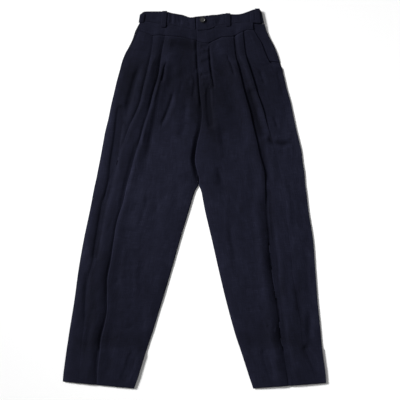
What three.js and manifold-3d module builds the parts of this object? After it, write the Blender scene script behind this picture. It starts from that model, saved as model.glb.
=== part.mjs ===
// Pleated trousers, laid flat on a table with the front up.
// Units are millimetres. +X is to the right as seen from above, +Y towards the waist, +Z off the table.
// Left and right in names are the wearer's own, so the right leg lies at -X.

import * as THREE from "three";
import Module from "manifold-3d";
import { mergeVertices } from "three/addons/utils/BufferGeometryUtils.js";

// Thicknesses and gaps
const CLOTH = 1;
const HEM_CLOTH = 2;
const BAND_CLOTH = 2;
const SEAM_GAP = 0.3;

// The turned-up hem and how gently the doubled cloth begins
const HEM_DEPTH = 97;
const HEM_STEP = 6;

// How the front cloth stands off the back cloth inside a leg
const PUFF_HEIGHT = 3.2;
const PUFF_EDGE = 13;
const PUFF_SEAM_FADE = 26;
const PUFF_TOP_SHARE = 0.3;
const PUFF_TOP_LEAD = 0.8;
const PUFF_TOP_ROWS = 2.2;
const HEM_PUFF_SHARE = 0.55;
const SEAM_RELIEF_SHARE = 0.3;
const REST_SOFTNESS = 0.3;

// Width of the trough beside a pleat's edge, in front of it and behind it
const TROUGH_FRONT = 11;
const TROUGH_BEHIND = 5;

// Where the layers of a pleat lie on each other, other folds stay out of them
const LAYER_MARGIN = 5;
const LAYER_FADE = 2;
const LAYERS_FROM_TURN = 125;
const LAYERS_TURN_FADE = 35;

// Underlap of the right front below the left front, and the lift of the left front's edge over it
const FLY_UNDERLAP = 9;
const FLY_UNDERLAP_Y = 300;
const FLY_UNDERLAP_FADE = 30;
const CROTCH_Y = 37;
const CROTCH_UNDERLAP = 5;
const CROTCH_UNDERLAP_CLEAR = 14;
const CROTCH_UNDERLAP_FADE = 22;
const EDGE_LIFT = CLOTH + 2 * SEAM_GAP;

// Waistband: heights of its lower and upper layers, and of the overlap at the fly
const BAND_BACK_Z = BAND_CLOTH / 2;
const BAND_FRONT_Z = 5.2;
const BAND_LAP_Z = BAND_FRONT_Z + BAND_CLOTH + SEAM_GAP;
const BAND_LAP_LENGTH = 48;
const BAND_LAP_FALL = 20;
const BAND_BACK_SHORTER = 1.5;
const BAND_BACK_LEAST = 20;

// The rise of the fronts, yokes and facings beside the thicker band
const WAIST_RAISE = 1.2;
const WAIST_RAISE_ROWS = 2;

// Belt loops
const LOOP_WIDTH = 13;
const LOOP_CLOTH = 1.5;
const LOOP_STAND = 1.1;
const LOOP_BEND = 5;
const LOOP_CLEAR = 1;

// Waist button
const BUTTON_RADIUS = 7.5;
const BUTTON_THICK = 2.8;
const BUTTON_FOOT = 1;
const BUTTON_WIDEST = 0.45;
const BUTTON_SHOULDER = 0.5;
const BUTTON_SHOULDER_DROP = 0.2;
const BUTTON_RIM = 1.3;
const BUTTON_DISH = 0.6;
const BUTTON_HOLE_RADIUS = 0.9;
const BUTTON_HOLE_SPACING = 2.9;
const BUTTON_X = 21.5;
const BUTTON_Y = 481;

// A table is written as its column names and one row of numbers for each section or fold.
function table(columns, rows) {
  const names = columns.split(" ");
  return rows.map((row) => Object.fromEntries(names.map((name, i) => [name, row[i]])));
}

// Cross sections of each leg, from the yoke seam down to the hem: the ends of the line across the panel.
const SECTIONS = {
  right: table("outerX outerY innerX innerY", [
    [-149, 452, 7, 425],
    [-156, 437, 6, 409],
    [-164, 420, 8, 393],
    [-171, 407, 9, 379],
    [-182, 400, 10, 369],
    [-194, 373, 11, 342],
    [-202, 344, 12, 315],
    [-210, 315, 13, 288],
    [-217, 285, 18, 255],
    [-225, 252, 20, 223],
    [-232, 217, 17, 190],
    [-241, 180, 9, 158],
    [-248, 142, 4.5, 128],
    [-255, 104, 1.5, 101],
    [-261, 74, 6, 77],
    [-265, 53, 10, 55],
    [-269, 36, 10.5, 37],
    [-273, 16, 0, 16],
    [-283, -36, -16, -36],
    [-299, -112, -39, -112],
    [-313, -193, -63, -196],
    [-324, -274, -88, -279],
    [-337, -355, -114, -363],
    [-345, -409, -133, -420],
    [-353, -468, -152, -482],
    [-355, -493, -163, -511.5],
  ]),
  left: table("outerX outerY innerX innerY", [
    [159, 454, 8, 420],
    [168, 439, 7, 405],
    [180, 420, 8, 389],
    [190, 394, 9, 371],
    [199, 374, 11, 355],
    [207, 364, 11, 344],
    [233, 356, 12, 333],
    [241, 331, 13, 309],
    [249, 296, 15, 277],
    [259, 261, 20, 244],
    [267, 223, 20, 215],
    [275, 185, 15, 182],
    [283, 153, 8, 153],
    [289, 126, 3, 123],
    [292, 99, 1.5, 99],
    [296, 74, 7, 74],
    [298, 53, 12, 54],
    [299, 36, 12, 37],
    [302, 16, 19, 16],
    [308, -36, 29, -36],
    [320, -112, 47, -112],
    [326, -193, 66, -196],
    [332, -274, 86, -279],
    [340, -355, 109, -363],
    [345, -409, 128, -420],
    [353, -468, 148, -482],
    [355, -497, 158, -511.5],
  ]),
};

// The lines of the folded edges of the pleats, which run on down the leg as its long creases.
const CREASES = {
  right: {
    outer: table("x y", [
      [-117, 441], [-119, 412], [-125, 377], [-134, 342], [-150, 266], [-168, 225], [-205, 130],
      [-243, 20], [-269, -126], [-297, -242], [-305, -370], [-318, -500],
    ]),
    inner: table("x y", [
      [-84, 437], [-92, 406], [-97, 374], [-102, 333], [-131, 234], [-163, 123], [-184, 55], [-200, -20],
      [-218, -77], [-239, -220], [-241, -300], [-257, -382], [-265, -455], [-270, -501],
    ]),
  },
  left: {
    outer: table("x y", [
      [130, 445], [134, 412], [137, 385], [149, 350], [178, 258], [194, 204], [209, 157],
      [240, 20], [262, -200], [277, -290], [292, -394], [318, -460], [325, -500],
    ]),
    inner: table("x y", [
      [105, 438], [107, 412], [110, 382], [119, 350], [147, 239], [176, 123], [189, 66], [191, -18],
      [200, -147], [221, -293], [228, -366], [242, -428], [247, -471], [249, -500],
    ]),
  },
};

// How each pleat is folded on its way down: the cloth hidden under its edge, the angle and the radius of its
// two turns, the trough in front of the edge, and how far behind the edge the cloth comes down again.
const PLEATS = {
  inner: table("y under turn radius trough fall", [
    [450, 15, 180, 0.76, 0, 40],
    [372, 15, 180, 0.76, 0, 34],
    [352, 7, 162, 0.9, 1.5, 11],
    [300, 4, 140, 1.1, 3, 12],
    [234, 3, 118, 1.2, 3.2, 14],
    [160, 2.5, 95, 1.2, 3, 20],
    [60, 2.2, 70, 1.4, 2.6, 30],
    [-80, 2, 52, 1.8, 2.4, 34],
    [-280, 2, 46, 2, 2.6, 30],
    [-400, 2, 38, 2.2, 2.2, 30],
    [-510, 2, 20, 2.6, 1, 30],
  ]),
  outer: table("y under turn radius trough fall", [
    [450, 10, 180, 0.76, 0, 10],
    [388, 10, 180, 0.76, 0, 10],
    [364, 6, 160, 0.9, 1.2, 12],
    [300, 3, 125, 1.1, 2.6, 16],
    [230, 2, 90, 1.2, 2.4, 20],
    [170, 1.5, 40, 1.6, 1, 24],
    [110, 1.5, 18, 2.4, 1.2, 24],
    [-120, 1.5, 14, 2.6, 1.4, 24],
    [-300, 1.5, 12, 2.6, 0.6, 24],
    [-510, 1.5, 6, 2.8, 0, 24],
  ]),
};

// How far the seam under each yoke dips and rises on its way from the side to the fly.
const SEAM_DIPS = {
  right: table("share dip", [
    [0, 0], [0.12, -2.7], [0.23, -7], [0.375, -2.1], [0.55, 0.8], [0.74, 2.8], [0.84, 1.9], [1, 0],
  ]),
  left: table("share dip", [
    [0, 0], [0.114, 4.9], [0.213, 1.4], [0.311, -3.4], [0.382, -6.3], [0.561, 0], [0.722, -5.6],
    [0.803, -9.5], [0.9, -4], [1, 3.5],
  ]),
};
const SEAM_DIP_ROWS = 3;

// Other large folds of each front: a curve through three points, its height (below zero for a trough)
// and its half width.
const FOLDS = {
  right: table("x0 y0 x1 y1 x2 y2 height width", [
    [-152, 371, -176, 292, -192, 226, -2.8, 8],
    [-192, 226, -189, 208, -180, 203, -2, 6],
    [-84, 364, -104, 262, -141, 66, -2.8, 7],
    [-58, 293, -73, 242, -95, 193, -2, 6],
    [-23, 290, -27, 255, -31, 231, -1.2, 10],
    [-77, 417, -39, 414, 0, 402, -1.2, 10],
    [-214, 236, -224, 150, -236, 60, -2.4, 8],
    [-170, -405, -176, -447, -198, -491, -2.2, 8],
    [-6, 170, -20, 110, -14, 70, 2.2, 12],
  ]),
  left: table("x0 y0 x1 y1 x2 y2 height width", [
    [142, 290, 163, 220, 178, 171, -2.6, 8],
    [209, 157, 217, 148, 247, 150, -1.8, 6],
    [220, 354, 229, 316, 239, 274, -1.4, 6],
    [40, 396, 42, 350, 51, 306, -1.4, 4],
    [35, 298, 36, 252, 42, 193, -2.2, 8],
    [47, 193, 66, 169, 74, 139, -1.2, 12],
    [56, 80, 69, 40, 74, 0, -1.2, 12],
    [88, -55, 99, -120, 107, -182, -1.4, 9],
    [178, -401, 190, -431, 206, -490, -1.8, 8],
    [285, -394, 306, -417, 327, -460, -1.6, 8],
    [302, -309, 304, -344, 298, -377, -1.4, 10],
    [12, 170, 6, 110, 14, 66, 2.4, 12],
  ]),
};

// The waistband, from the fly out to the side: the top and bottom ends of each line across it.
const BAND = {
  right: table("topX topY bottomX bottomY", [
    [46, 488, 46, 461],
    [8, 490, 8, 454],
    [-11, 488, -11, 458],
    [-34, 495, -34, 462],
    [-58, 499, -57, 467],
    [-75, 503, -76, 467],
    [-93, 504, -95, 471],
    [-115, 504, -117, 475],
    [-136, 503, -137, 477],
    [-144, 497, -147, 477],
  ]),
  left: table("topX topY bottomX bottomY", [
    [7.5, 490, 7.5, 453],
    [31, 492, 31, 455],
    [47, 494, 47, 459],
    [61, 495, 60, 466],
    [80, 498, 79, 469],
    [96, 497, 97, 471],
    [112, 496, 112, 473],
    [128, 498, 128, 474],
    [148, 505, 147, 475],
    [160, 509, 161, 474],
    [174, 509, 178, 473],
    [180, 504, 187, 472],
  ]),
};

// Belt loops lying on the front of the band: middle of the top end and of the bottom end.
const LOOPS = table("x y lowX lowY", [
  [-80, 505, -84, 461],
  [90, 499, 90, 464],
  [169, 511.5, 172, 472],
]);
const LOOP_NAMES = ["belt_loop_front_right", "belt_loop_front_left", "belt_loop_side_left"];

// The loop at the right side seam, which bends round the folded edge of the band.
const SIDE_LOOP_TOP = 497;
const SIDE_LOOP_BOTTOM = 474;
const SIDE_LOOP_TOP_X = -144.2;
const SIDE_LOOP_BOTTOM_X = -147.8;
const SIDE_LOOP_ON_TOP = 9;
const SIDE_LOOP_WRAP = 1.1;

// The loop at the centre back, under the band.
const BACK_LOOP_X = 10;
const BACK_LOOP_TOP = 487;
const BACK_LOOP_BOTTOM = 458;
const BACK_LOOP_RAMP = 14;
const BACK_RAISE = LOOP_CLOTH + SEAM_GAP;

// Pocket facings, seen beside the slanted pocket edges: how far they run under the front.
const FACING_UNDER = 11;
const FACINGS = {
  right: table("edgeX edgeY sideX sideY", [
    [-147, 472, -151, 468],
    [-149, 452, -160, 450],
    [-156, 437, -166, 432],
    [-164, 420, -173, 416],
    [-170, 409, -180, 402.5],
  ]),
  left: table("edgeX edgeY sideX sideY", [
    [150, 471, 189, 470],
    [158, 455, 194, 453],
    [168, 439, 202, 435],
    [180, 420, 214, 413],
    [190, 394, 224, 389],
    [201, 372, 230, 368],
  ]),
};

const COLOURS = {
  cloth: { color: 0x1b1c29, roughness: 0.92, metalness: 0 },
  button: { color: 0x22242c, roughness: 0.3, metalness: 0 },
};

const clamp01 = (t) => Math.min(1, Math.max(0, t));
const lerp = (a, b, t) => a + (b - a) * t;

function smooth(t) {
  const s = clamp01(t);
  return s * s * (3 - 2 * s);
}

// A smooth curve through four values, at t between the middle two.
function throughFour(a, b, c, d, t) {
  return b + 0.5 * t * (c - a + t * (2 * a - 5 * b + 4 * c - d + t * (3 * (b - c) + d - a)));
}

// The row of a table at position v, counted in rows, with every column run smoothly through its values.
function rowAt(rows, v) {
  const last = rows.length - 1;
  const i = Math.min(last - 1, Math.max(0, Math.floor(v)));
  const at = (k) => rows[Math.min(last, Math.max(0, k))];
  const made = {};
  for (const name of Object.keys(rows[0]))
    made[name] = throughFour(at(i - 1)[name], at(i)[name], at(i + 1)[name], at(i + 2)[name], v - i);
  return made;
}

// The row of a table whose y falls, at height y, with straight runs between the rows.
function rowAtY(rows, y) {
  let i = 0;
  while (i < rows.length - 2 && rows[i + 1].y > y) i++;
  const t = clamp01((rows[i].y - y) / (rows[i].y - rows[i + 1].y));
  const made = {};
  for (const name of Object.keys(rows[0])) made[name] = lerp(rows[i][name], rows[i + 1][name], t);
  return made;
}

// The x of a crease at height y, smoothed over a short stretch.
const CREASE_SMOOTHING = 14;
function creaseX(rows, y) {
  const spots = [-1, -0.5, 0, 0.5, 1];
  const sum = spots.reduce((total, s) => total + rowAtY(rows, y + s * CREASE_SMOOTHING).x, 0);
  return sum / spots.length;
}

// The share of the way across a section at which it meets a crease.
const CREASE_ROUNDS = 6;
function creaseShare(section, crease) {
  let share = 0.5;
  for (let i = 0; i < CREASE_ROUNDS; i++) {
    const x = creaseX(crease, lerp(section.outerY, section.innerY, share));
    share = clamp01((x - section.outerX) / (section.innerX - section.outerX));
  }
  return share;
}

// Points along a fold's curve.
const FOLD_STEPS = 10;
function foldPoints(fold) {
  const midX = 2 * fold.x1 - (fold.x0 + fold.x2) / 2;
  const midY = 2 * fold.y1 - (fold.y0 + fold.y2) / 2;
  const points = [];
  for (let i = 0; i <= FOLD_STEPS; i++) {
    const t = i / FOLD_STEPS;
    const a = (1 - t) ** 2;
    const b = 2 * t * (1 - t);
    const c = t * t;
    points.push([a * fold.x0 + b * midX + c * fold.x2, a * fold.y0 + b * midY + c * fold.y2]);
  }
  return points;
}

// The height that a fold adds at a place: a soft bell across it that fades out at both ends.
const FOLD_FADE = 0.22;
function foldHeight(fold, x, y) {
  let near = Infinity;
  let along = 0;
  const points = fold.points;
  for (let i = 0; i < FOLD_STEPS; i++) {
    const [ax, ay] = points[i];
    const dx = points[i + 1][0] - ax;
    const dy = points[i + 1][1] - ay;
    const t = clamp01(((x - ax) * dx + (y - ay) * dy) / (dx * dx + dy * dy));
    const away = Math.hypot(x - ax - dx * t, y - ay - dy * t);
    if (away < near) {
      near = away;
      along = (i + t) / FOLD_STEPS;
    }
  }
  const fade = smooth(along / FOLD_FADE) * smooth((1 - along) / FOLD_FADE);
  return fold.height * fade * Math.exp(-((near / fold.width) ** 2));
}
for (const folds of Object.values(FOLDS)) for (const fold of folds) fold.points = foldPoints(fold);

// One section of a leg with all that is worked out from it.
function legSection(side, v) {
  const section = rowAt(SECTIONS[side], v);
  const width = Math.hypot(section.innerX - section.outerX, section.innerY - section.outerY);
  const along = [(section.innerX - section.outerX) / width, (section.innerY - section.outerY) / width];
  return { ...section, v, width, along };
}

const lastRow = (side) => SECTIONS[side].length - 1;

// How far below the hem line a place is, as a share from 0 above it to 1 within the hem.
function inHem(side, x, y) {
  const hem = SECTIONS[side][lastRow(side)];
  const t = (x - hem.outerX) / (hem.innerX - hem.outerX);
  const above = y - lerp(hem.outerY, hem.innerY, t);
  return smooth((HEM_DEPTH - above) / HEM_STEP);
}

const wallAt = (side, x, y) => lerp(CLOTH, HEM_CLOTH, inHem(side, x, y));
const waistRaise = (v) => WAIST_RAISE * (1 - smooth(v / WAIST_RAISE_ROWS));

// How far the yoke seam, or the cloth just under it, lies off the section's straight line.
function seamDip(side, share, v) {
  const rows = SEAM_DIPS[side];
  let i = 0;
  while (i < rows.length - 2 && rows[i + 1].share < share) i++;
  const t = clamp01((share - rows[i].share) / (rows[i + 1].share - rows[i].share));
  return lerp(rows[i].dip, rows[i + 1].dip, t) * (1 - smooth(v / SEAM_DIP_ROWS));
}

// The underlap of the right front along its inner edge.
function underlap(y) {
  const fly = smooth((y - FLY_UNDERLAP_Y) / FLY_UNDERLAP_FADE);
  const fromCrotch = smooth((y - CROTCH_Y - CROTCH_UNDERLAP_CLEAR) / CROTCH_UNDERLAP_FADE);
  return lerp(CROTCH_UNDERLAP, FLY_UNDERLAP, fly) * fromCrotch;
}

// How far the front cloth stands up at a place, besides the layers of its pleats.
function stand(side, section, across, x, y, creases) {
  const fromOuter = across;
  const fromInner = Math.max(0, section.width - across);
  const edge = (away) => 1 - Math.exp(-Math.max(0, away) / PUFF_EDGE);
  const topShare = lerp(PUFF_TOP_SHARE, 1, smooth((section.v + PUFF_TOP_LEAD) / PUFF_TOP_ROWS));
  const hemShare = lerp(1, HEM_PUFF_SHARE, inHem(side, x, y));
  const puff = PUFF_HEIGHT * edge(fromOuter) * edge(fromInner) * hemShare * topShare;
  let relief = 0;
  for (const fold of FOLDS[side]) relief += foldHeight(fold, x, y);
  for (const kind of ["outer", "inner"]) {
    const pleat = rowAtY(PLEATS[kind], y);
    const before = creases[kind] * section.width - across;
    const pastStart = smooth((before + pleat.under + LAYER_MARGIN) / LAYER_FADE);
    const beforeEnd = smooth((LAYER_MARGIN - before) / LAYER_FADE);
    const layered = smooth((pleat.turn - LAYERS_FROM_TURN) / LAYERS_TURN_FADE);
    relief *= 1 - pastStart * beforeEnd * layered;
    const spread = before > 0 ? TROUGH_FRONT : TROUGH_BEHIND;
    relief -= pleat.trough * Math.exp(-((before / spread) ** 2));
  }
  const held = smooth(fromOuter / PUFF_SEAM_FADE) * smooth(fromInner / PUFF_SEAM_FADE);
  const wanted = puff + relief * lerp(SEAM_RELIEF_SHARE, 1, held);
  return 0.5 * (wanted + Math.sqrt(wanted * wanted + REST_SOFTNESS));
}

// The lift of the left front's inner edge over the right front, and of a pocket edge over its facing.
const FLY_LIFT_REACH = 40;
const POCKET_LIFT_REACH = 14;
const LIFT_FALL = 30;
const CROTCH_LEAD = 2;
const CROTCH_FADE = 12;
const POCKET_END_ROW = { right: 3.2, left: 4.6 };

const flyLift = (fromEdge) => EDGE_LIFT * (1 - smooth((fromEdge - FLY_LIFT_REACH) / LIFT_FALL));
const pocketLift = (fromEdge) => EDGE_LIFT * (1 - smooth((fromEdge - POCKET_LIFT_REACH) / LIFT_FALL));

function edgeLift(side, section, across) {
  const crotch = smooth((section.innerY - CROTCH_Y + CROTCH_LEAD) / CROTCH_FADE);
  const fly = side === "left" ? crotch * flyLift(section.width - across) : 0;
  const pocket = 1 - smooth(section.v - POCKET_END_ROW[side]);
  return fly + pocket * pocketLift(across);
}

// The turns of a pleat as seen along its fold: from the lower layer, back under the edge, to the top layer.
const TURN_STEPS = 2;
function pleatTurns(pleat) {
  const turn = THREE.MathUtils.degToRad(pleat.turn);
  const r = pleat.radius;
  const points = [];
  for (let i = 0; i <= TURN_STEPS; i++) {
    const a = (turn * i) / TURN_STEPS;
    points.push({ a: r * Math.sin(a), z: r * (1 - Math.cos(a)) });
  }
  const endA = r * Math.sin(turn) + pleat.under * Math.cos(turn);
  const endZ = r * (1 - Math.cos(turn)) + pleat.under * Math.sin(turn);
  points.push({ a: (points.at(-1).a + endA) / 2, z: (points.at(-1).z + endZ) / 2 });
  for (let i = TURN_STEPS; i >= 0; i--) {
    const a = (turn * i) / TURN_STEPS;
    points.push({
      a: endA + r * (Math.sin(turn) - Math.sin(a)),
      z: endZ + r * (Math.cos(a) - Math.cos(turn)),
    });
  }
  const edge = Math.min(turn, Math.PI / 2);
  const edgeA = endA + r * (Math.sin(turn) - Math.sin(edge));
  return points.map((p) => ({ a: p.a - edgeA, z: p.z }));
}

// Shares at which the plain stretches of a front are cut into columns.
const OUTER_COLUMNS = [0, 0.07, 0.2, 0.42, 0.64, 0.84];
const STRIP_COLUMNS = [0, 0.35, 0.7];
const INNER_COLUMNS = [0, 0.12, 0.28, 0.48, 0.68, 0.86, 0.95, 1];
const PAST_LAYERS = 2;

// The middle line of a front's section: places across it and heights from the layers of the pleats.
function frontLine(side, section) {
  const shares = {};
  const pleats = {};
  for (const kind of ["outer", "inner"]) {
    shares[kind] = creaseShare(section, CREASES[side][kind]);
    pleats[kind] = rowAtY(PLEATS[kind], lerp(section.outerY, section.innerY, shares[kind]));
  }
  const turns = { outer: pleatTurns(pleats.outer), inner: pleatTurns(pleats.inner) };
  const outerAt = shares.outer * section.width;
  const innerAt = shares.inner * section.width;
  const line = [];
  const outerStart = outerAt + turns.outer[0].a;
  for (const share of OUTER_COLUMNS) line.push({ a: outerStart * share, z: 0 });
  for (const p of turns.outer) line.push({ a: outerAt + p.a, z: p.z });
  const raised = turns.outer.at(-1).z;
  const stripStart = outerAt + pleats.outer.under + PAST_LAYERS;
  const stripEnd = innerAt + turns.inner[0].a;
  const stripFall = (a) => raised * (1 - smooth((a - stripStart) / pleats.outer.fall));
  for (const share of STRIP_COLUMNS) {
    const a = lerp(stripStart, stripEnd, share);
    line.push({ a, z: stripFall(a) });
  }
  const low = stripFall(stripEnd);
  for (const p of turns.inner) line.push({ a: innerAt + p.a, z: low + p.z });
  const top = line.at(-1).z;
  const innerStart = innerAt + pleats.inner.under + PAST_LAYERS;
  const end = section.width + (side === "right" ? underlap(section.innerY) : 0);
  for (const share of INNER_COLUMNS) {
    const a = lerp(innerStart, end, share);
    line.push({ a, z: top * (1 - smooth((a - innerStart) / pleats.inner.fall)) });
  }
  return { line, shares };
}

// The upright direction to the outside of a line, at each of its points.
function normals(line) {
  return line.map((p, i) => {
    const before = line[Math.max(0, i - 1)];
    const after = line[Math.min(line.length - 1, i + 1)];
    const length = Math.hypot(after.a - before.a, after.z - before.z) || 1;
    return { a: -(after.z - before.z) / length, z: (after.a - before.a) / length };
  });
}

// The outer and inner points of one row of a front panel.
function frontRow(side, v) {
  const section = legSection(side, v);
  const { line, shares } = frontLine(side, section);
  const out = normals(line);
  const point = (i, offset) => {
    const across = line[i].a + out[i].a * offset;
    const x = section.outerX + section.along[0] * across;
    const straightY = section.outerY + section.along[1] * across;
    const y = straightY + seamDip(side, across / section.width, v);
    const back = wallAt(side, x, y);
    const rest = back + SEAM_GAP + back - CLOTH / 2 + waistRaise(v);
    const up = stand(side, section, across, x, y, shares) + edgeLift(side, section, across);
    return [x, y, rest + up + line[i].z + out[i].z * offset];
  };
  const outer = line.map((_, i) => point(i, CLOTH / 2));
  const inner = line.map((_, i) => {
    const made = point(i, -CLOTH / 2);
    made[2] -= wallAt(side, made[0], made[1]) - CLOTH;
    return made;
  });
  return { outer, inner };
}

// The vertices and triangles of a closed wall between two grids of points with the same rows.
function wall(outer, inner) {
  const rows = outer.length;
  const columns = outer[0].length;
  const positions = [...outer.flat(), ...inner.flat()].flat();
  const at = (layer, j, i) => layer * rows * columns + j * columns + i;
  const triangles = [];
  const quad = (a, b, c, d) => triangles.push(a, b, c, a, c, d);
  for (let j = 0; j < rows - 1; j++)
    for (let i = 0; i < columns - 1; i++) {
      quad(at(0, j, i), at(0, j + 1, i), at(0, j + 1, i + 1), at(0, j, i + 1));
      quad(at(1, j, i), at(1, j, i + 1), at(1, j + 1, i + 1), at(1, j + 1, i));
    }
  const rim = [];
  for (let i = 0; i < columns - 1; i++) rim.push([0, i]);
  for (let j = 0; j < rows - 1; j++) rim.push([j, columns - 1]);
  for (let i = columns - 1; i > 0; i--) rim.push([rows - 1, i]);
  for (let j = rows - 1; j > 0; j--) rim.push([j, 0]);
  rim.forEach(([j, i], k) => {
    const [nj, ni] = rim[(k + 1) % rim.length];
    quad(at(0, j, i), at(0, nj, ni), at(1, nj, ni), at(1, j, i));
  });
  return { positions, triangles };
}

// The signed volume inside a list of triangles.
function volume(positions, triangles) {
  const p = (i) => positions.slice(3 * i, 3 * i + 3);
  let total = 0;
  for (let i = 0; i < triangles.length; i += 3) {
    const [a, b, c] = [p(triangles[i]), p(triangles[i + 1]), p(triangles[i + 2])];
    total += a[0] * (b[1] * c[2] - b[2] * c[1]);
    total += a[1] * (b[2] * c[0] - b[0] * c[2]);
    total += a[2] * (b[0] * c[1] - b[1] * c[0]);
  }
  return total / 6;
}

const garment = new THREE.Group();

function addMesh(name, geometry, look = COLOURS.cloth) {
  const mesh = new THREE.Mesh(geometry, new THREE.MeshStandardMaterial(look));
  mesh.name = name;
  garment.add(mesh);
}

// A wall as a named mesh, turned so that its faces point out.
function addWall(name, rows) {
  const { positions, triangles } = wall(
    rows.map((row) => row.outer),
    rows.map((row) => row.inner),
  );
  if (volume(positions, triangles) < 0) triangles.reverse();
  const geometry = new THREE.BufferGeometry();
  geometry.setAttribute("position", new THREE.Float32BufferAttribute(positions, 3));
  geometry.setIndex(triangles);
  geometry.computeVertexNormals();
  addMesh(name, geometry);
}

// The rows of the leg panels, closer together in the long lower stretches than the table's own rows.
const LOWER_ROW_STEP = 0.5;
function legRows(side) {
  const crotchRow = SECTIONS[side].findIndex((row) => row.innerY <= CROTCH_Y);
  const rows = [];
  for (let v = 0; v < lastRow(side); v += v < crotchRow ? 1 : LOWER_ROW_STEP) rows.push(v);
  return [...rows, lastRow(side)];
}

// Back panels run from the band to the hem, flat on the table, and meet at the centre back seam.
const BACK_COLUMNS = [0, 0.5, 1];
const CENTRE_BACK_X = 9;

function backRow(side, section) {
  const sign = side === "left" ? 1 : -1;
  const inward = section.innerY > CROTCH_Y ? CENTRE_BACK_X + (sign * SEAM_GAP) / 2 : section.innerX;
  const at = (share) => [lerp(section.outerX, inward, share), lerp(section.outerY, section.innerY, share)];
  const points = BACK_COLUMNS.map(at);
  return {
    outer: points.map(([x, y]) => [x, y, wallAt(side, x, y)]),
    inner: points.map(([x, y]) => [x, y, 0]),
  };
}

// The back's outline beside the hip, where the front's own edge follows the pocket instead.
const BACK_HIP = {
  right: table("outerX outerY innerX innerY", [
    [-148, 474.5, 0, 456],
    [-156, 456, 0, 440],
    [-165, 434, 0, 419],
    [-174, 415, 0, 400],
  ]),
  left: table("outerX outerY innerX innerY", [
    [188, 470.5, 0, 456],
    [194, 453, 0, 440],
    [204, 431, 0, 419],
    [214, 413, 0, 400],
    [224, 388, 0, 378],
  ]),
};
const BACK_FIRST_ROW = { right: 4, left: 6 };

for (const side of ["right", "left"]) {
  const rows = legRows(side).map((v) => frontRow(side, v));
  addWall(`front_${side}`, rows);
  const hip = BACK_HIP[side].map((section) => backRow(side, section));
  const below = legRows(side)
    .filter((v) => v >= BACK_FIRST_ROW[side])
    .map((v) => backRow(side, legSection(side, v)));
  addWall(`back_${side}`, [...hip, ...below]);
}

// The band's top and bottom edges at a distance x from the middle, on the front of the garment.
function bandAt(side, x) {
  const rows = BAND[side];
  let i = 0;
  while (i < rows.length - 2 && (rows[i + 1].topX - x) * (rows[0].topX - x) > 0) i++;
  const t = clamp01((x - rows[i].topX) / (rows[i + 1].topX - rows[i].topX));
  const made = {};
  for (const name of Object.keys(rows[0])) made[name] = lerp(rows[i][name], rows[i + 1][name], t);
  return made;
}

// The height of the band's upper layer: raised over the underlap beside the fly, on the left only.
function bandTopZ(side, x) {
  if (side === "right") return BAND_FRONT_Z;
  return lerp(BAND_LAP_Z, BAND_FRONT_Z, smooth((x - BAND_LAP_LENGTH) / BAND_LAP_FALL));
}

// The rise of the band's lower layer over the loop at the centre back.
function overBackLoop(x) {
  const pastLoop = Math.abs(x - BACK_LOOP_X) - LOOP_WIDTH / 2 - LOOP_CLEAR;
  return BACK_RAISE * (1 - smooth(pastLoop / BACK_LOOP_RAMP));
}

// The band bends round the side edge from the upper layer to the lower one.
const BAND_TURN_STEPS = 6;
const BAND_ACROSS = [0, 0.12, 0.5, 0.88, 1];
const BACK_STATIONS_FROM = 24;

function bandRows(side) {
  const rows = BAND[side];
  const edge = rows.at(-1);
  const radius = (BAND_FRONT_Z - BAND_BACK_Z) / 2;
  const sign = side === "left" ? 1 : -1;
  const stations = [];
  for (const row of rows.slice(0, -1)) stations.push({ ...row, z: bandTopZ(side, row.topX), nx: 0, nz: 1 });
  for (let i = 0; i <= BAND_TURN_STEPS; i++) {
    const a = (Math.PI * i) / BAND_TURN_STEPS;
    const reach = sign * radius * (Math.sin(a) - 1);
    stations.push({
      ...edge,
      topX: edge.topX + reach,
      bottomX: edge.bottomX + reach,
      z: BAND_BACK_Z + radius * (1 + Math.cos(a)),
      nx: sign * Math.sin(a),
      nz: Math.cos(a),
    });
  }
  const centre = CENTRE_BACK_X + (sign * SEAM_GAP) / 2;
  const away = sign * (LOOP_WIDTH / 2 + LOOP_CLEAR);
  const frontXs = rows.slice(1, -1).map((row) => row.topX);
  const backXs = frontXs
    .filter((x) => sign * (x - centre) > BACK_STATIONS_FROM)
    .reverse()
    .concat([centre + away + sign * BACK_LOOP_RAMP, centre + away, centre]);
  for (const x of backXs) {
    const row = bandAt(side, x);
    const raise = overBackLoop(x);
    const backBottom = rowAtX(BACK_HIP[side], x);
    stations.push({
      topX: x,
      topY: Math.max(backBottom + BAND_BACK_LEAST, row.topY - BAND_BACK_SHORTER),
      bottomX: x,
      bottomY: backBottom + SEAM_GAP,
      z: BAND_BACK_Z + raise,
      nx: 0,
      nz: -1,
    });
  }
  return stations.map((s) => {
    const at = (share, offset) => [
      lerp(s.topX, s.bottomX, share) + s.nx * offset,
      lerp(s.topY, s.bottomY, share),
      s.z + s.nz * offset,
    ];
    return {
      outer: BAND_ACROSS.map((share) => at(share, BAND_CLOTH / 2)),
      inner: BAND_ACROSS.map((share) => at(share, -BAND_CLOTH / 2)),
    };
  });
}

// The y of a back panel's top edge at x.
function rowAtX(rows, x) {
  const first = rows[0];
  const t = clamp01((x - first.outerX) / (CENTRE_BACK_X - first.outerX));
  return lerp(first.outerY, first.innerY, t);
}

for (const side of ["right", "left"]) addWall(`waistband_${side}`, bandRows(side));

// Front yokes fill the space between the band and the tops of the leg panels, and meet each at its height.
const YOKE_ACROSS = [0, 0.35, 0.7, 1];
const YOKE_LEAST_SPACING = 1.2;
const YOKE_INSET = 1;
const YOKE_END_CLEAR = 0.01;
const YOKE_FLY_LAP_SHARE = 0.8;
const YOKE_POCKET_LAP_SHARE = 0.3;
const YOKE_SIDE_DROP = 1.2;
const YOKE_SIDE_REACH = 16;

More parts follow.
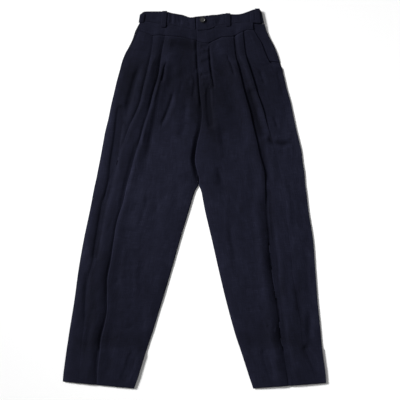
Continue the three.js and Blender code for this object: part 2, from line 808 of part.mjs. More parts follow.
// The y of a front panel's top edge at x, and the height of the upper face there.
function topEdgeAt(edge, x) {
  const found = { y: 0, z: 0 };
  for (let i = 0; i < edge.length - 1; i++) {
    const [a, b] = [edge[i], edge[i + 1]];
    const t = (x - a[0]) / (b[0] - a[0]);
    if (t >= 0 && t <= 1) {
      found.y = lerp(a[1], b[1], t);
      found.z = Math.max(found.z, lerp(a[2], b[2], t));
    }
  }
  return found;
}

// The y of the band's lower edge at x.
function bandBottomY(side, x) {
  const rows = BAND[side];
  let i = 0;
  while (i < rows.length - 2 && (rows[i + 1].bottomX - x) * (rows[0].bottomX - x) > 0) i++;
  const t = clamp01((x - rows[i].bottomX) / (rows[i + 1].bottomX - rows[i].bottomX));
  return lerp(rows[i].bottomY, rows[i + 1].bottomY, t);
}

// Where a yoke is cut into rows: at the corners of the edges that it meets, and not too close together.
function yokeStations(side, edge, startX, endX) {
  const corners = [...edge.map((p) => p[0]), ...BAND[side].map((row) => row.bottomX)];
  const inside = corners.filter((x) => (x - startX) * (x - endX) < 0);
  inside.sort((a, b) => Math.abs(a - startX) - Math.abs(b - startX));
  const stations = [startX];
  for (const x of inside) {
    const fromLast = Math.abs(x - stations.at(-1));
    if (fromLast > YOKE_LEAST_SPACING && Math.abs(x - endX) > YOKE_LEAST_SPACING) stations.push(x);
  }
  return [...stations, endX];
}

function yokeRows(side) {
  const top = legSection(side, 0);
  const edge = frontRow(side, 0).outer;
  const endX = edge.at(-1)[0] - Math.sign(top.along[0]) * YOKE_END_CLEAR;
  const startX = top.outerX + Math.sign(top.along[0]) * YOKE_INSET;
  return yokeStations(side, edge, startX, endX).map((x) => {
    const seam = topEdgeAt(edge, x);
    const bandY = bandBottomY(side, x);
    const fromSide = Math.abs(x - startX);
    const flyLap = side === "left" ? YOKE_FLY_LAP_SHARE * flyLift(x - endX) : 0;
    const pocketLap = YOKE_POCKET_LAP_SHARE * pocketLift(fromSide);
    const sideDrop = YOKE_SIDE_DROP * (1 - smooth(fromSide / YOKE_SIDE_REACH));
    const highZ = BAND_FRONT_Z + Math.max(flyLap, pocketLap) - sideDrop;
    const at = (t, offset) => {
      const y = lerp(bandY - SEAM_GAP, seam.y + SEAM_GAP, t);
      return [x, y, lerp(highZ, seam.z - CLOTH / 2, smooth(t)) + offset];
    };
    return {
      outer: YOKE_ACROSS.map((t) => at(t, CLOTH / 2)),
      inner: YOKE_ACROSS.map((t) => at(t, -CLOTH / 2)),
    };
  });
}
for (const side of ["right", "left"]) addWall(`front_yoke_${side}`, yokeRows(side));

// Pocket facings lie on the back cloth, from the side seam to a little under the pocket edge.
const FACING_ACROSS = [0, 0.3, 0.65, 1];
for (const side of ["right", "left"]) {
  const inwardSign = side === "left" ? -1 : 1;
  const rows = FACINGS[side].map((row, k) => {
    const z = CLOTH + SEAM_GAP + CLOTH / 2 + waistRaise(k - 1);
    const at = (t, offset) => [
      lerp(row.edgeX + inwardSign * FACING_UNDER, row.sideX, t),
      lerp(row.edgeY, row.sideY, t),
      z + offset,
    ];
    return {
      outer: FACING_ACROSS.map((t) => at(t, CLOTH / 2)),
      inner: FACING_ACROSS.map((t) => at(t, -CLOTH / 2)),
    };
  });
  addWall(`pocket_facing_${side}`, rows);
}

// A belt loop: a strip whose two ends lie down and whose middle stands off, so that a belt passes under it.
const LOOP_ALONG = [0, 0.06, 0.16, 0.5, 0.84, 0.94, 1];
const LOOP_ACROSS = [-0.5, 0, 0.5];

function loopHeight(share, length) {
  const fromEnd = Math.min(share, 1 - share) * length;
  return SEAM_GAP + LOOP_CLOTH / 2 + LOOP_STAND * smooth(fromEnd / LOOP_BEND);
}

LOOPS.forEach((loop, k) => {
  const side = loop.x < 0 ? "right" : "left";
  const length = Math.hypot(loop.lowX - loop.x, loop.lowY - loop.y);
  const under = bandTopZ(side, loop.x) + BAND_CLOTH / 2;
  const rows = LOOP_ALONG.map((share) => {
    const z = under + loopHeight(share, length);
    const at = (w, offset) => [
      lerp(loop.x, loop.lowX, share) + w * LOOP_WIDTH,
      lerp(loop.y, loop.lowY, share),
      z + offset,
    ];
    return {
      outer: LOOP_ACROSS.map((w) => at(w, LOOP_CLOTH / 2)),
      inner: LOOP_ACROSS.map((w) => at(w, -LOOP_CLOTH / 2)),
    };
  });
  addWall(LOOP_NAMES[k], rows);
});

// The side loop follows the band's bend round the side edge, standing off it in the middle.
const SIDE_LOOP_TURNS = 5;
const sideLoopRows = LOOP_ALONG.map((share) => {
  const length = SIDE_LOOP_TOP - SIDE_LOOP_BOTTOM;
  const radius = (BAND_FRONT_Z - BAND_BACK_Z) / 2;
  const off = radius + BAND_CLOTH / 2 + loopHeight(share, length);
  const centreX = lerp(SIDE_LOOP_TOP_X, SIDE_LOOP_BOTTOM_X, share) + radius;
  const y = lerp(SIDE_LOOP_TOP, SIDE_LOOP_BOTTOM, share);
  const middleZ = (BAND_FRONT_Z + BAND_BACK_Z) / 2;
  const line = [{ x: centreX + SIDE_LOOP_ON_TOP, z: middleZ + off, nx: 0, nz: 1 }];
  for (let i = 0; i <= SIDE_LOOP_TURNS; i++) {
    const a = (Math.PI / 2) * (i / SIDE_LOOP_TURNS) * SIDE_LOOP_WRAP;
    const nx = -Math.sin(a);
    const nz = Math.cos(a);
    line.push({ x: centreX + nx * off, z: middleZ + nz * off, nx, nz });
  }
  const at = (p, offset) => [p.x + p.nx * offset, y, p.z + p.nz * offset];
  return {
    outer: line.map((p) => at(p, LOOP_CLOTH / 2)),
    inner: line.map((p) => at(p, -LOOP_CLOTH / 2)),
  };
});
addWall("belt_loop_side_right", sideLoopRows);

// The centre back loop lies flat on the table, under the raised band.
const backLoopRows = [BACK_LOOP_TOP, (BACK_LOOP_TOP + BACK_LOOP_BOTTOM) / 2, BACK_LOOP_BOTTOM].map((y) => ({
  outer: LOOP_ACROSS.map((w) => [BACK_LOOP_X + w * LOOP_WIDTH, y, LOOP_CLOTH]),
  inner: LOOP_ACROSS.map((w) => [BACK_LOOP_X + w * LOOP_WIDTH, y, 0]),
}));
addWall("belt_loop_back", backLoopRows);

// The waist button: a dished disc with four holes.
const wasm = await Module();
wasm.setup();

const MERGE_WITHIN = 1e-4;
function toSolid(geometry) {
  const bare = geometry.clone();
  bare.deleteAttribute("normal");
  bare.deleteAttribute("uv");
  const merged = mergeVertices(bare, MERGE_WITHIN);
  return new wasm.Manifold(
    new wasm.Mesh({
      numProp: 3,
      vertProperties: merged.attributes.position.array,
      triVerts: new Uint32Array(merged.index.array),
    }),
  );
}

function toGeometry(solid) {
  const mesh = solid.getMesh();
  const geometry = new THREE.BufferGeometry();
  geometry.setAttribute("position", new THREE.BufferAttribute(mesh.vertProperties, 3));
  geometry.setIndex(new THREE.BufferAttribute(mesh.triVerts, 1));
  geometry.computeVertexNormals();
  return geometry;
}

const BUTTON_SEGMENTS = 32;
const HOLE_SEGMENTS = 10;
const buttonProfile = [
  [0, 0],
  [BUTTON_RADIUS - BUTTON_FOOT, 0],
  [BUTTON_RADIUS, BUTTON_THICK * BUTTON_WIDEST],
  [BUTTON_RADIUS - BUTTON_SHOULDER, BUTTON_THICK - BUTTON_SHOULDER_DROP],
  [BUTTON_RADIUS - BUTTON_RIM, BUTTON_THICK],
  [BUTTON_RADIUS - 2 * BUTTON_RIM, BUTTON_THICK - BUTTON_DISH],
  [0, BUTTON_THICK - BUTTON_DISH],
].map(([x, y]) => new THREE.Vector2(x, y));

const disc = new THREE.LatheGeometry(buttonProfile, BUTTON_SEGMENTS);
disc.rotateX(Math.PI / 2);
let buttonSolid = toSolid(disc);
if (buttonSolid.volume() < 0) throw new Error("the button's profile is inside out");
for (const sx of [-1, 1])
  for (const sy of [-1, 1]) {
    const r = BUTTON_HOLE_RADIUS;
    const hole = new THREE.CylinderGeometry(r, r, 4 * BUTTON_THICK, HOLE_SEGMENTS);
    hole.rotateX(Math.PI / 2);
    hole.translate((sx * BUTTON_HOLE_SPACING) / 2, (sy * BUTTON_HOLE_SPACING) / 2, 0);
    buttonSolid = buttonSolid.subtract(toSolid(hole));
  }
const button = toGeometry(buttonSolid);
button.translate(BUTTON_X, BUTTON_Y, bandTopZ("left", BUTTON_X) + BAND_CLOTH / 2 + SEAM_GAP);
addMesh("waist_button", button, COLOURS.button);

export default garment;
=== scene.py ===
import math

import bmesh
import bpy
import numpy as np
from mathutils import Matrix, Vector, noise
from mathutils.bvhtree import BVHTree


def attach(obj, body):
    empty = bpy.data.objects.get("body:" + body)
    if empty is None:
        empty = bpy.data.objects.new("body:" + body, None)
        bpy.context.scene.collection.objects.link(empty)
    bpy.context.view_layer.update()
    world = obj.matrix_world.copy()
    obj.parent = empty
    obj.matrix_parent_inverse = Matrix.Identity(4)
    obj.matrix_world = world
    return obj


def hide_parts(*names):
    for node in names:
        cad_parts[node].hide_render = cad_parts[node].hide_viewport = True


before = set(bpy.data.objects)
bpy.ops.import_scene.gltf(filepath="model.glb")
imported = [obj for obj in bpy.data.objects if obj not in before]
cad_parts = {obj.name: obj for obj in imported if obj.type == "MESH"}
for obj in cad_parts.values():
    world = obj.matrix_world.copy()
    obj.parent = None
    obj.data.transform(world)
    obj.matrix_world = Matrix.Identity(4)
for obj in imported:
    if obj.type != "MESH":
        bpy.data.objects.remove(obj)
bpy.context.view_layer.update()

# Sizes are in millimetres, and MM turns them into the scene's metres. Those of the materials' patterns, the
# lights and the table's half width are in metres.
MM = 0.001

# Cloth thicknesses and gaps
CLOTH = 1.0
SHELL = 0.7
BAND_CLOTH = 2.0
BAND_SHELL = 1.85
HEM_CLOTH = 2.0
SEAM_GAP = 0.3

# How far the top of a shell lies above its middle, and a height above the whole garment
CLOTH_TOP = 0.4
ABOVE_ALL = 100

# The turned-up hem: its depth, how gently the doubled cloth begins, and where its hidden layer lies
HEM_DEPTH = 97
HEM_STEP = 6
HEM_DROP = 1.05
HEM_TURN_SHARE = 0.5
HEM_TURN_OUT = 0.45
HEM_RIDGE = 1
HEM_RIDGE_WIDTH = 5
HEM_RIDGE_WAVE = 7
HEM_RIDGE_UNEVEN = 0.3

# How the front cloth stands off the back cloth inside a leg
PUFF_HEIGHT = 3.2
PUFF_EDGE = 13
PUFF_SEAM_FADE = 26
PUFF_TOP_SHARE = 0.3
PUFF_TOP_LEAD = 0.8
PUFF_TOP_ROWS = 2.2
HEM_PUFF_SHARE = 0.55
SEAM_RELIEF_SHARE = 0.3
REST_SOFTNESS = 0.3
UNEVEN_FROM_SIDE = 20

# How finely the pieces are laid out: rows down them and columns across them
FRONT_ROWS = 236
HEM_ROWS = 24
OUTER_COLUMNS = 42
STRIP_COLUMNS = 20
INNER_COLUMNS = 62
DENSER_AT_ENDS = 0.55
TURN_STEPS = 7
HIDDEN_STEPS = 4
HIP_ROWS = 30
BACK_COLUMNS = 60
YOKE_ROWS = 14
YOKE_COLUMNS = 120
FACING_ROWS = 40
FACING_COLUMNS = 24
BAND_ROWS = 14
BAND_FRONT_STEPS = 110
BAND_TURN_STEPS = 11
BAND_BACK_STEPS = 60
ROW_SAMPLES = 600
FOLD_STEPS = 10
CREASE_ROUNDS = 6

# A small crease shows as the shade on its slope, so its line lies this share of its width beside what shows.
BESIDE_SHADE = (0.55, -0.3)
CREASE_BESIDE_SHADE = {"right": 6.5, "left": 0}
MARK_DEPTH = 1.35
FOLD_FADE = 0.22

# The long creases run smoothly through their points, and wander a little below the pleats' layers:
# length of each wave, its start, and its share.
CREASE_SMOOTHING = 14
CREASE_SPOTS = (-1, -0.5, 0, 0.5, 1)
CREASE_WOBBLE = 0.9
CREASE_WAVES = [(29, 0, 1), (13, 2, 0.6)]
LAYERS_END_Y = 350
LAYERS_END_FADE = 60

# The troughs beside the pleats' edges, and the pleats' layers, which other folds stay out of
TROUGH_SHARE = {"right": 1.0, "left": 0.2}
TROUGH_FRONT = {"right": 5, "left": 9}
TROUGH_BEHIND = 4
LAYER_MARGIN = 5
LAYER_FADE = 2
LAYERS_FROM_TURN = 125
LAYERS_TURN_FADE = 35
PAST_LAYERS = 2

# Underlap of the right front below the left front, and the lift of an edge that laps over other cloth
FLY_UNDERLAP = 9
FLY_UNDERLAP_Y = 300
FLY_UNDERLAP_FADE = 30
CROTCH_UNDERLAP = 5
CROTCH_UNDERLAP_CLEAR = 14
CROTCH_UNDERLAP_FADE = 22
CROTCH_Y = 37
CROTCH_LEAD = 2
CROTCH_FADE = 12
EDGE_LIFT = CLOTH + 2 * SEAM_GAP
FLY_LIFT_REACH = 40
POCKET_LIFT_REACH = 14
LIFT_FALL = 30
POCKET_END_ROW = {"right": 4.2, "left": 5.6}

# The rise of the fronts, yokes and facings beside the thicker band
WAIST_RAISE = 1.2
WAIST_RAISE_ROWS = 2
FACING_UNDER = 11
FACING_RAISE = 1.5
FACING_RAISE_ROWS = 1.2
YOKE_FLY_LAP_SHARE = 0.8
YOKE_POCKET_LAP_SHARE = 0.3
YOKE_HIGH_CLEAR = 0.2
YOKE_LOW_CLEAR = 0.4
YOKE_SPREAD = 9
YOKE_CROWN = 0.5
YOKE_CROWN_REACH = 30

# Waistband: heights of its lower and upper layers, the overlap at the fly, and its turn at the side
BAND_BACK_Z = BAND_CLOTH / 2
BAND_FRONT_Z = 5.2
BAND_LAP_Z = BAND_FRONT_Z + BAND_CLOTH + SEAM_GAP
BAND_LAP_LENGTH = 48
BAND_LAP_FALL = 20
BAND_TURN_RADIUS = (BAND_FRONT_Z - BAND_BACK_Z) / 2
BAND_TURN_CLEAR = 3
BAND_END_SHORT = 0.06
BAND_BACK_SHORTER = 1.5
BAND_BACK_LEAST = 20
BAND_ROUND = 0.7
CENTRE_BACK_X = 9

# Belt loops
LOOP_WIDTH = 13
LOOP_CLOTH = 1.2
LOOP_SHELL = 1.1
LOOP_ROUND = 0.55
LOOP_STAND = 0.6
LOOP_BEND = 5
LOOP_CROWN = 0.25
LOOP_ROWS = 26
LOOP_COLUMNS = 9
SIDE_LOOP_ROWS = 16
SIDE_LOOP_FLAT_COLUMNS = 6
SIDE_LOOP_ROUND_COLUMNS = 12
SIDE_LOOP_WRAP = 1.1 * math.pi / 2
SIDE_LOOP_PRESSED = 0.5
SIDE_LOOP_PRESS_REACH = 3
BACK_LOOP_ROWS = 14
BACK_LOOP_COLUMNS = 7
BACK_LOOP_X = 10
BACK_LOOP_TOP = 487
BACK_LOOP_BOTTOM = 458
BACK_LOOP_CLEAR = 1
BACK_LOOP_RAMP = 14
BACK_LOOP_ROOM = 1.5
BACK_RAISE = BACK_LOOP_ROOM + SEAM_GAP

# Small unevenness of each piece's cloth: its size, its height, how much longer it is down the leg, and its
# place in the noise.
UNEVEN = {
    "front_right": (26, 0.35, 1.6, 8.0),
    "front_left": (26, 0.35, 1.6, 3.0),
    "yoke": (14, 0.25, 0.8, 5.0),
    "facing": (20, 0.2, 1.2, 9.0),
    "band": (18, 0.35, 0.8, 2.0),
}

# Ends of the line across each leg from the yoke seam to the hem: outer x, outer y, inner x, inner y.
SECTIONS = {
    "right": np.array([
        [-149, 452, 7, 425], [-156, 437, 6, 409], [-164, 420, 8, 393], [-171, 407, 9, 379],
        [-182, 400, 10, 369], [-194, 373, 11, 342], [-202, 344, 12, 315], [-210, 315, 13, 288],
        [-217, 285, 18, 255], [-225, 252, 20, 223], [-232, 217, 17, 190], [-241, 180, 9, 158],
        [-248, 142, 4.5, 128], [-255, 104, 1.5, 101], [-261, 74, 6, 77], [-265, 53, 10, 55],
        [-269, 36, 10.5, 37], [-273, 16, 0, 16], [-283, -36, -16, -36], [-299, -112, -39, -112],
        [-313, -193, -63, -196], [-324, -274, -88, -279], [-337, -355, -114, -363],
        [-345, -409, -133, -420], [-353, -468, -152, -482], [-355, -493, -163, -511.5],
    ]),
    "left": np.array([
        [159, 454, 8, 420], [168, 439, 7, 405], [180, 420, 8, 389], [190, 394, 9, 371],
        [199, 374, 11, 355], [207, 364, 11, 344], [233, 356, 12, 333], [241, 331, 13, 309],
        [249, 296, 15, 277], [259, 261, 20, 244], [267, 223, 20, 215], [275, 185, 15, 182],
        [283, 153, 8, 153], [289, 126, 3, 123], [292, 99, 1.5, 99], [296, 74, 7, 74],
        [298, 53, 12, 54], [299, 36, 12, 37], [302, 16, 19, 16], [308, -36, 29, -36],
        [320, -112, 47, -112], [326, -193, 66, -196], [332, -274, 86, -279], [340, -355, 109, -363],
        [345, -409, 128, -420], [353, -468, 148, -482], [355, -497, 158, -511.5],
    ]),
}

# Lines of the pleats' folded edges, which run on down the leg: y, x.
CREASES = {
    "right": {
        "outer": [
            [441, -117], [412, -119], [377, -125], [342, -134], [266, -150], [225, -168], [130, -205],
            [20, -243], [-126, -269], [-242, -297], [-370, -305], [-500, -318],
        ],
        "inner": [
            [437, -84], [406, -92], [374, -97], [333, -102], [234, -131], [123, -163], [55, -184],
            [-20, -200], [-77, -218], [-220, -239], [-300, -241], [-382, -257], [-455, -265],
            [-501, -270],
        ],
    },
    "left": {
        "outer": [
            [445, 130], [412, 134], [385, 137], [350, 149], [258, 178], [204, 194], [157, 209],
            [20, 240], [-200, 262], [-290, 277], [-394, 292], [-460, 318], [-500, 325],
        ],
        "inner": [
            [438, 105], [412, 107], [382, 110], [350, 119], [239, 147], [123, 176], [66, 189],
            [-18, 191], [-147, 200], [-293, 221], [-366, 228], [-428, 242], [-471, 247], [-500, 249],
        ],
    },
}

# Folding of each pleat on its way down: y, cloth under the edge, angle of the turns, their radius,
# trough before the edge, and how far behind it the cloth comes down.
PLEATS = {
    "inner": [
        [450, 15, 180, 0.52, 0.6, 40], [374, 15, 180, 0.52, 1.4, 34], [356, 6, 165, 0.7, 2.2, 30],
        [300, 3, 148, 0.85, 2.4, 34], [234, 2.2, 130, 0.95, 2.4, 34], [160, 1.8, 108, 1, 2.3, 34],
        [60, 1.6, 80, 1.1, 2.0, 32], [-80, 1.5, 60, 1.4, 2.0, 34], [-280, 1.5, 54, 1.6, 2.2, 30],
        [-400, 1.5, 46, 1.8, 2.0, 30], [-510, 1.5, 24, 2.2, 0.8, 30],
    ],
    "outer": [
        [450, 10, 180, 0.52, 0.8, 10], [388, 10, 180, 0.52, 1.6, 10], [366, 5, 165, 0.7, 1.8, 11],
        [300, 2.6, 138, 0.85, 2.2, 13], [230, 1.8, 100, 0.95, 2.0, 17], [186, 1.5, 44, 1.2, 1, 24],
        [158, 1.5, 12, 2, 1, 28], [110, 1.5, 9, 2, 1.2, 26], [-120, 1.5, 10, 2.2, 1.4, 24],
        [-300, 1.5, 12, 2.2, 0.6, 24], [-510, 1.5, 6, 2.4, 0, 24],
    ],
}

# How much of their height the folded edges keep below the stitching: y, share. The cloth behind the
# right front's outer pleat comes down over a longer way.
EDGE_SHARES = {
    "right": {
        "outer": [[372, 1], [332, 0.68], [-510, 0.68]],
        "inner": [[372, 1], [-510, 1]],
    },
    "left": {
        "outer": [[372, 1], [332, 0.72], [185, 0.72], [130, 0.5], [-510, 0.5]],
        "inner": [[372, 1], [332, 0.72], [185, 0.72], [130, 0.5], [-510, 0.5]],
    },
}
OUTER_FALL_SHARE = {"right": 2, "left": 1}

# Below the thigh the left leg's long crease turns over: the cloth of the outer side stands up at its line.
TURN_OVER_Y = 24
TURN_OVER_FADE = 50
TURN_OVER_TURN = 12
TURN_OVER_HEIGHT = 2.2
TURN_OVER_RISE = 2
TURN_OVER_FALL = 15
TURN_OVER_BEYOND = 8

# The valley that runs down beside each long crease: depth, place from the line, and width of the hollow
# on its outer and inner side, then height, place and width of the ridge beyond it, and how strong both are
# down the leg: y, share.
VALLEYS = {
    "right": {
        "hollow": [4.6, 6, 13, 24],
        "ridge": [2, -24, 14],
        "down": [
            [170, 0], [120, 0.15], [-120, 0.3], [-200, 0.8], [-430, 0.9], [-480, 0.6], [-512, 0.4],
        ],
    },
    "left": {
        "hollow": [6, 10.5, 11, 11],
        "ridge": [3, -20, 13],
        "down": [
            [166, 0], [146, 0.2], [80, 0.1], [24, 0.05], [-5, 0.5], [-60, 0.7], [-150, 1], [-380, 1],
            [-440, 0.7], [-512, 0.4],
        ],
    },
}
# How unsteady the valleys are: length of each wave, its start, and its share.
VALLEY_WAVES = [(37, 0, 0.2), (15, 0, 0.12)]

# The deep valley at the crotch: the right front drops into it beside the seam, the left front stays up.
CROTCH_DROP = 5.5
CROTCH_DROP_WIDTH = 14
CROTCH_DROP_REACH = 45
CROTCH_EDGE_UP = 0.6
# How strong it is down the seam: y, share.
CROTCH_VALLEY = [
    [270, 0], [240, 0.2], [205, 0.3], [176, 0.6], [140, 0.95], [90, 1], [66, 0.8], [42, 0.1], [34, 0],
]

# Other folds of each front: three points of the curve, height (below zero for a trough), half width.
FOLDS = {
    "right": [
        [-148, 371, -175, 285, -192, 206, -3.6, 8], [-194, 216, -188, 202, -172, 199, -2.4, 6],
        [-84, 364, -104, 262, -141, 66, -1.5, 7], [-58, 293, -73, 242, -95, 193, -2, 6],
        [-23, 290, -27, 255, -31, 231, -0.8, 10], [-77, 417, -39, 414, 0, 402, -1.2, 10],
        [-206, 252, -214, 165, -233, 56, -4.2, 8], [-171, -405, -180, -452, -201, -491, -3.2, 10.5],
        [-26, 180, -40, 110, -32, 60, 1, 16],
    ],
    "left": [
        [200, 182, 213, 149, 262, 150, -3.2, 6], [212, 169, 230, 161, 258, 163, 1.4, 7],
        [178, 150, 190, 100, 198, 40, -2, 9], [220, 140, 236, 132, 256, 134, -0.8, 16],
        [220, 354, 229, 316, 239, 274, -1.4, 6], [40, 396, 42, 350, 51, 306, -1.4, 4],
        [35, 298, 36, 252, 42, 193, -2.2, 8], [47, 193, 66, 169, 74, 139, -1.2, 12],
        [56, 80, 69, 40, 74, 0, -1.2, 12], [88, -55, 99, -120, 107, -182, -0.7, 9],
        [179, -401, 191, -435, 207, -490, -2.6, 10], [287, -394, 307, -420, 328, -462, -2.4, 10],
        [302, -309, 304, -344, 298, -377, -1.4, 10], [2, 170, -6, 110, 4, 66, 0.8, 12],
    ],
}

# Smaller creases of the cloth, in the same columns and how soon the crease starts and ends.
CREASE_MARKS = {
    "right": [
        [-86, 372, -88, 350, -93, 318, -2, 6, 0.04], [-94, 373, -86, 372, -78, 366, -1.3, 3, 0.1],
        [-93, 363, -101, 309, -115, 259, 1, 3.5, 0.1], [-116, 255, -133, 207, -144, 139, 1.1, 4, 0.2],
        [-58, 293, -73, 242, -95, 194, -0.8, 3.5, 0.15], [-47, 288, -62, 239, -85, 190, 0.4, 5, 0.2],
        [-26, 344, -39, 301, -55, 258, -0.3, 4, 0.2], [-28, 255, -28, 234, -34, 209, -0.9, 8, 0.2],
        [-204, 254, -213, 150, -243, -8, -3.4, 9, 0.04],
        [-244, 12, -262, -90, -273, -165, -3.4, 9, 0.1],
        [-293, -190, -298, -262, -297, -340, -1.6, 9, 0.15],
        [-228, -242, -234, -288, -239, -342, -1.2, 3, 0.2],
        [-235, -247, -238, -290, -242, -333, 0.9, 2.6, 0.2],
        [-206, -213, -218, -229, -229, -239, -1.6, 4, 0.1],
        [-171, -402, -181, -450, -203, -493, -0.8, 8, 0.1],
        [-69, 401, -58, 369, -47, 331, 1.2, 14, 0.2], [-26, 325, -9, 327, -12, 296, 1.3, 5, 0.2],
        [-1, 355, 0, 344, 1, 331, -1, 2.6, 0.2], [-2, 304, -4, 288, -8, 271, -1.2, 4, 0.2],
        [-157, 160, -182, 70, -208, -40, -1, 5, 0.15], [-201, -80, -169, -88, -131, -77, -0.7, 4, 0.2],
        [-198, -128, -171, -134, -139, -126, 0.6, 4, 0.2],
        [-212, -174, -180, -182, -147, -171, -0.7, 4, 0.2],
        [-204, -217, -174, -212, -150, -223, -0.6, 3.5, 0.2],
        [-220, -263, -190, -271, -158, -263, -0.7, 4, 0.2],
        [-217, -306, -188, -301, -161, -312, 0.6, 4, 0.2],
        [-223, -342, -190, -350, -163, -339, -0.8, 4, 0.2],
        [-225, -379, -198, -374, -171, -385, -0.6, 3.5, 0.2],
        [-153, -150, -163, -204, -155, -263, 0.9, 8, 0.2],
        [-185, -112, -196, -171, -198, -247, 0.7, 7, 0.2],
        [-298, -58, -309, -153, -320, -247, -0.9, 9, 0.2],
        [-279, -288, -288, -355, -298, -414, -0.9, 7, 0.2],
        [-63, 325, -58, 244, -55, 158, 0.8, 14, 0.2], [-109, 23, -117, -42, -131, -112, -0.8, 13, 0.2],
        [-61, 61, -72, 1, -88, -63, 0.9, 12, 0.2], [-31, 209, -36, 185, -47, 169, -0.8, 8, 0.2],
        [-190, 374, -207, 320, -223, 255, 1, 12, 0.2], [-128, 10, -139, -30, -157, -95, -1, 6, 0.25],
    ],
    "left": [
        [147, 300, 169, 225, 187, 166, -2.6, 11, 0.06], [89, 386, 97, 363, 106, 333, -1.9, 4, 0.05],
        [174, 350, 180, 330, 189, 309, -1.3, 4.5, 0.2], [209, 221, 218, 207, 221, 189, -1.5, 4.5, 0.2],
        [94, 23, 82, -72, 109, -250, 0.3, 6, 0.1], [90, -61, 99, -120, 108, -174, -0.4, 6, 0.2],
        [207, -53, 215, -128, 225, -236, -1.4, 7, 0.2],
        [120, -107, 150, -112, 180, -104, -0.6, 4, 0.2],
        [128, -171, 161, -166, 185, -174, 0.5, 4, 0.2],
        [134, -234, 161, -242, 190, -234, -0.6, 4, 0.2],
        [139, -301, 166, -296, 196, -306, -0.6, 4, 0.2], [61, 331, 72, 261, 85, 180, 0.9, 14, 0.2],
        [109, 101, 117, 39, 126, -39, 0.7, 14, 0.2], [272, 61, 282, -20, 292, -109, -0.5, 10, 0.2],
        [296, -128, 301, -190, 304, -250, -0.7, 7, 0.2],
        [194, -339, 204, -347, 216, -352, -1.5, 4, 0.15],
        [303, -290, 307, -342, 308, -392, -1, 9, 0.2], [270, -240, 278, -284, 284, -326, -1.1, 9, 0.2],
        [179, -398, 193, -439, 209, -498, -0.6, 7, 0.1],
        [292, -392, 312, -432, 330, -478, -0.8, 8, 0.1], [58, 88, 65, 63, 74, 36, -1.1, 8, 0.2],
        [27, 298, 27, 271, 28, 244, 0.9, 2.8, 0.15], [45, 298, 46, 271, 47, 244, 0.9, 3, 0.15],
        [34, 302, 34, 250, 42, 192, -3, 8, 0.06], [20, 290, 22, 250, 20, 206, 0.7, 3, 0.1],
        [52, 420, 66, 406, 74, 385, 1, 12, 0.2], [234, 77, 244, -4, 255, -99, 1, 10, 0.2],
        [126, 158, 134, 90, 142, 23, 0.9, 12, 0.2], [53, 212, 61, 158, 66, 104, 0.8, 8, 0.2],
    ],
}

# The fly, in the same columns: its sewn outline and the puckers across it.
FLY_MARKS = [
    [39, 412, 40, 385, 43, 350, -1.2, 2.8, 0.04], [43, 355, 47, 328, 52, 298, -1.2, 3, 0.04],
    [35, 305, 43, 305, 53, 302, -1.3, 2.2, 0.05], [12, 428, 23, 426, 36, 429, -1.2, 3.6, 0.1],
    [12, 420, 23, 419, 36, 422, 1.3, 3.8, 0.1], [15, 412, 24, 409, 38, 413, -1.3, 4, 0.3],
    [14, 403, 26, 401, 36, 398, 1.1, 4, 0.3], [10, 394, 21, 391, 32, 395, -1.2, 4, 0.3],
    [12, 381, 23, 379, 39, 381, 1.1, 4, 0.3], [16, 371, 25, 369, 40, 373, -1.1, 4.2, 0.3],
    [15, 351, 26, 350, 39, 351, 0.9, 7, 0.1], [15, 336, 23, 335, 39, 337, -1.6, 3.6, 0.1],
    [18, 326, 25, 328, 33, 325, 1.5, 3.2, 0.15], [20, 316, 21, 312, 19, 306, 1, 2.6, 0.15],
]
# The right front beside the fly: it swells a little, and falls where it runs under the left front.
FLY_HOLLOW = [
    [-2, 440, -2, 416, -1, 398, 1.3, 5, 0.2], [-1, 400, 1, 366, 2, 344, 1.1, 5, 0.2],
    [2, 346, 5, 322, 8, 296, 1.4, 5, 0.2], [6, 306, 9, 280, 11, 244, 1.8, 5.5, 0.2],
    [9, 440, 8, 410, 9, 344, -2, 3, 0.05], [10, 346, 14, 306, 18, 240, -1.6, 3.4, 0.05],
]
# The thicker facing inside the fly: y and x of its outline, its ends, and how softly they fall.
FLY_OUTLINE = [[430, 38], [417, 39], [385, 40], [350, 43], [328, 47], [302, 52]]
FLY_BOTTOM = 303
FLY_BOTTOM_FADE = 4
FLY_TOP = 402
FLY_TOP_FADE = 12
FLY_EDGE_FADE = 3
FLY_THICKER = 0.8

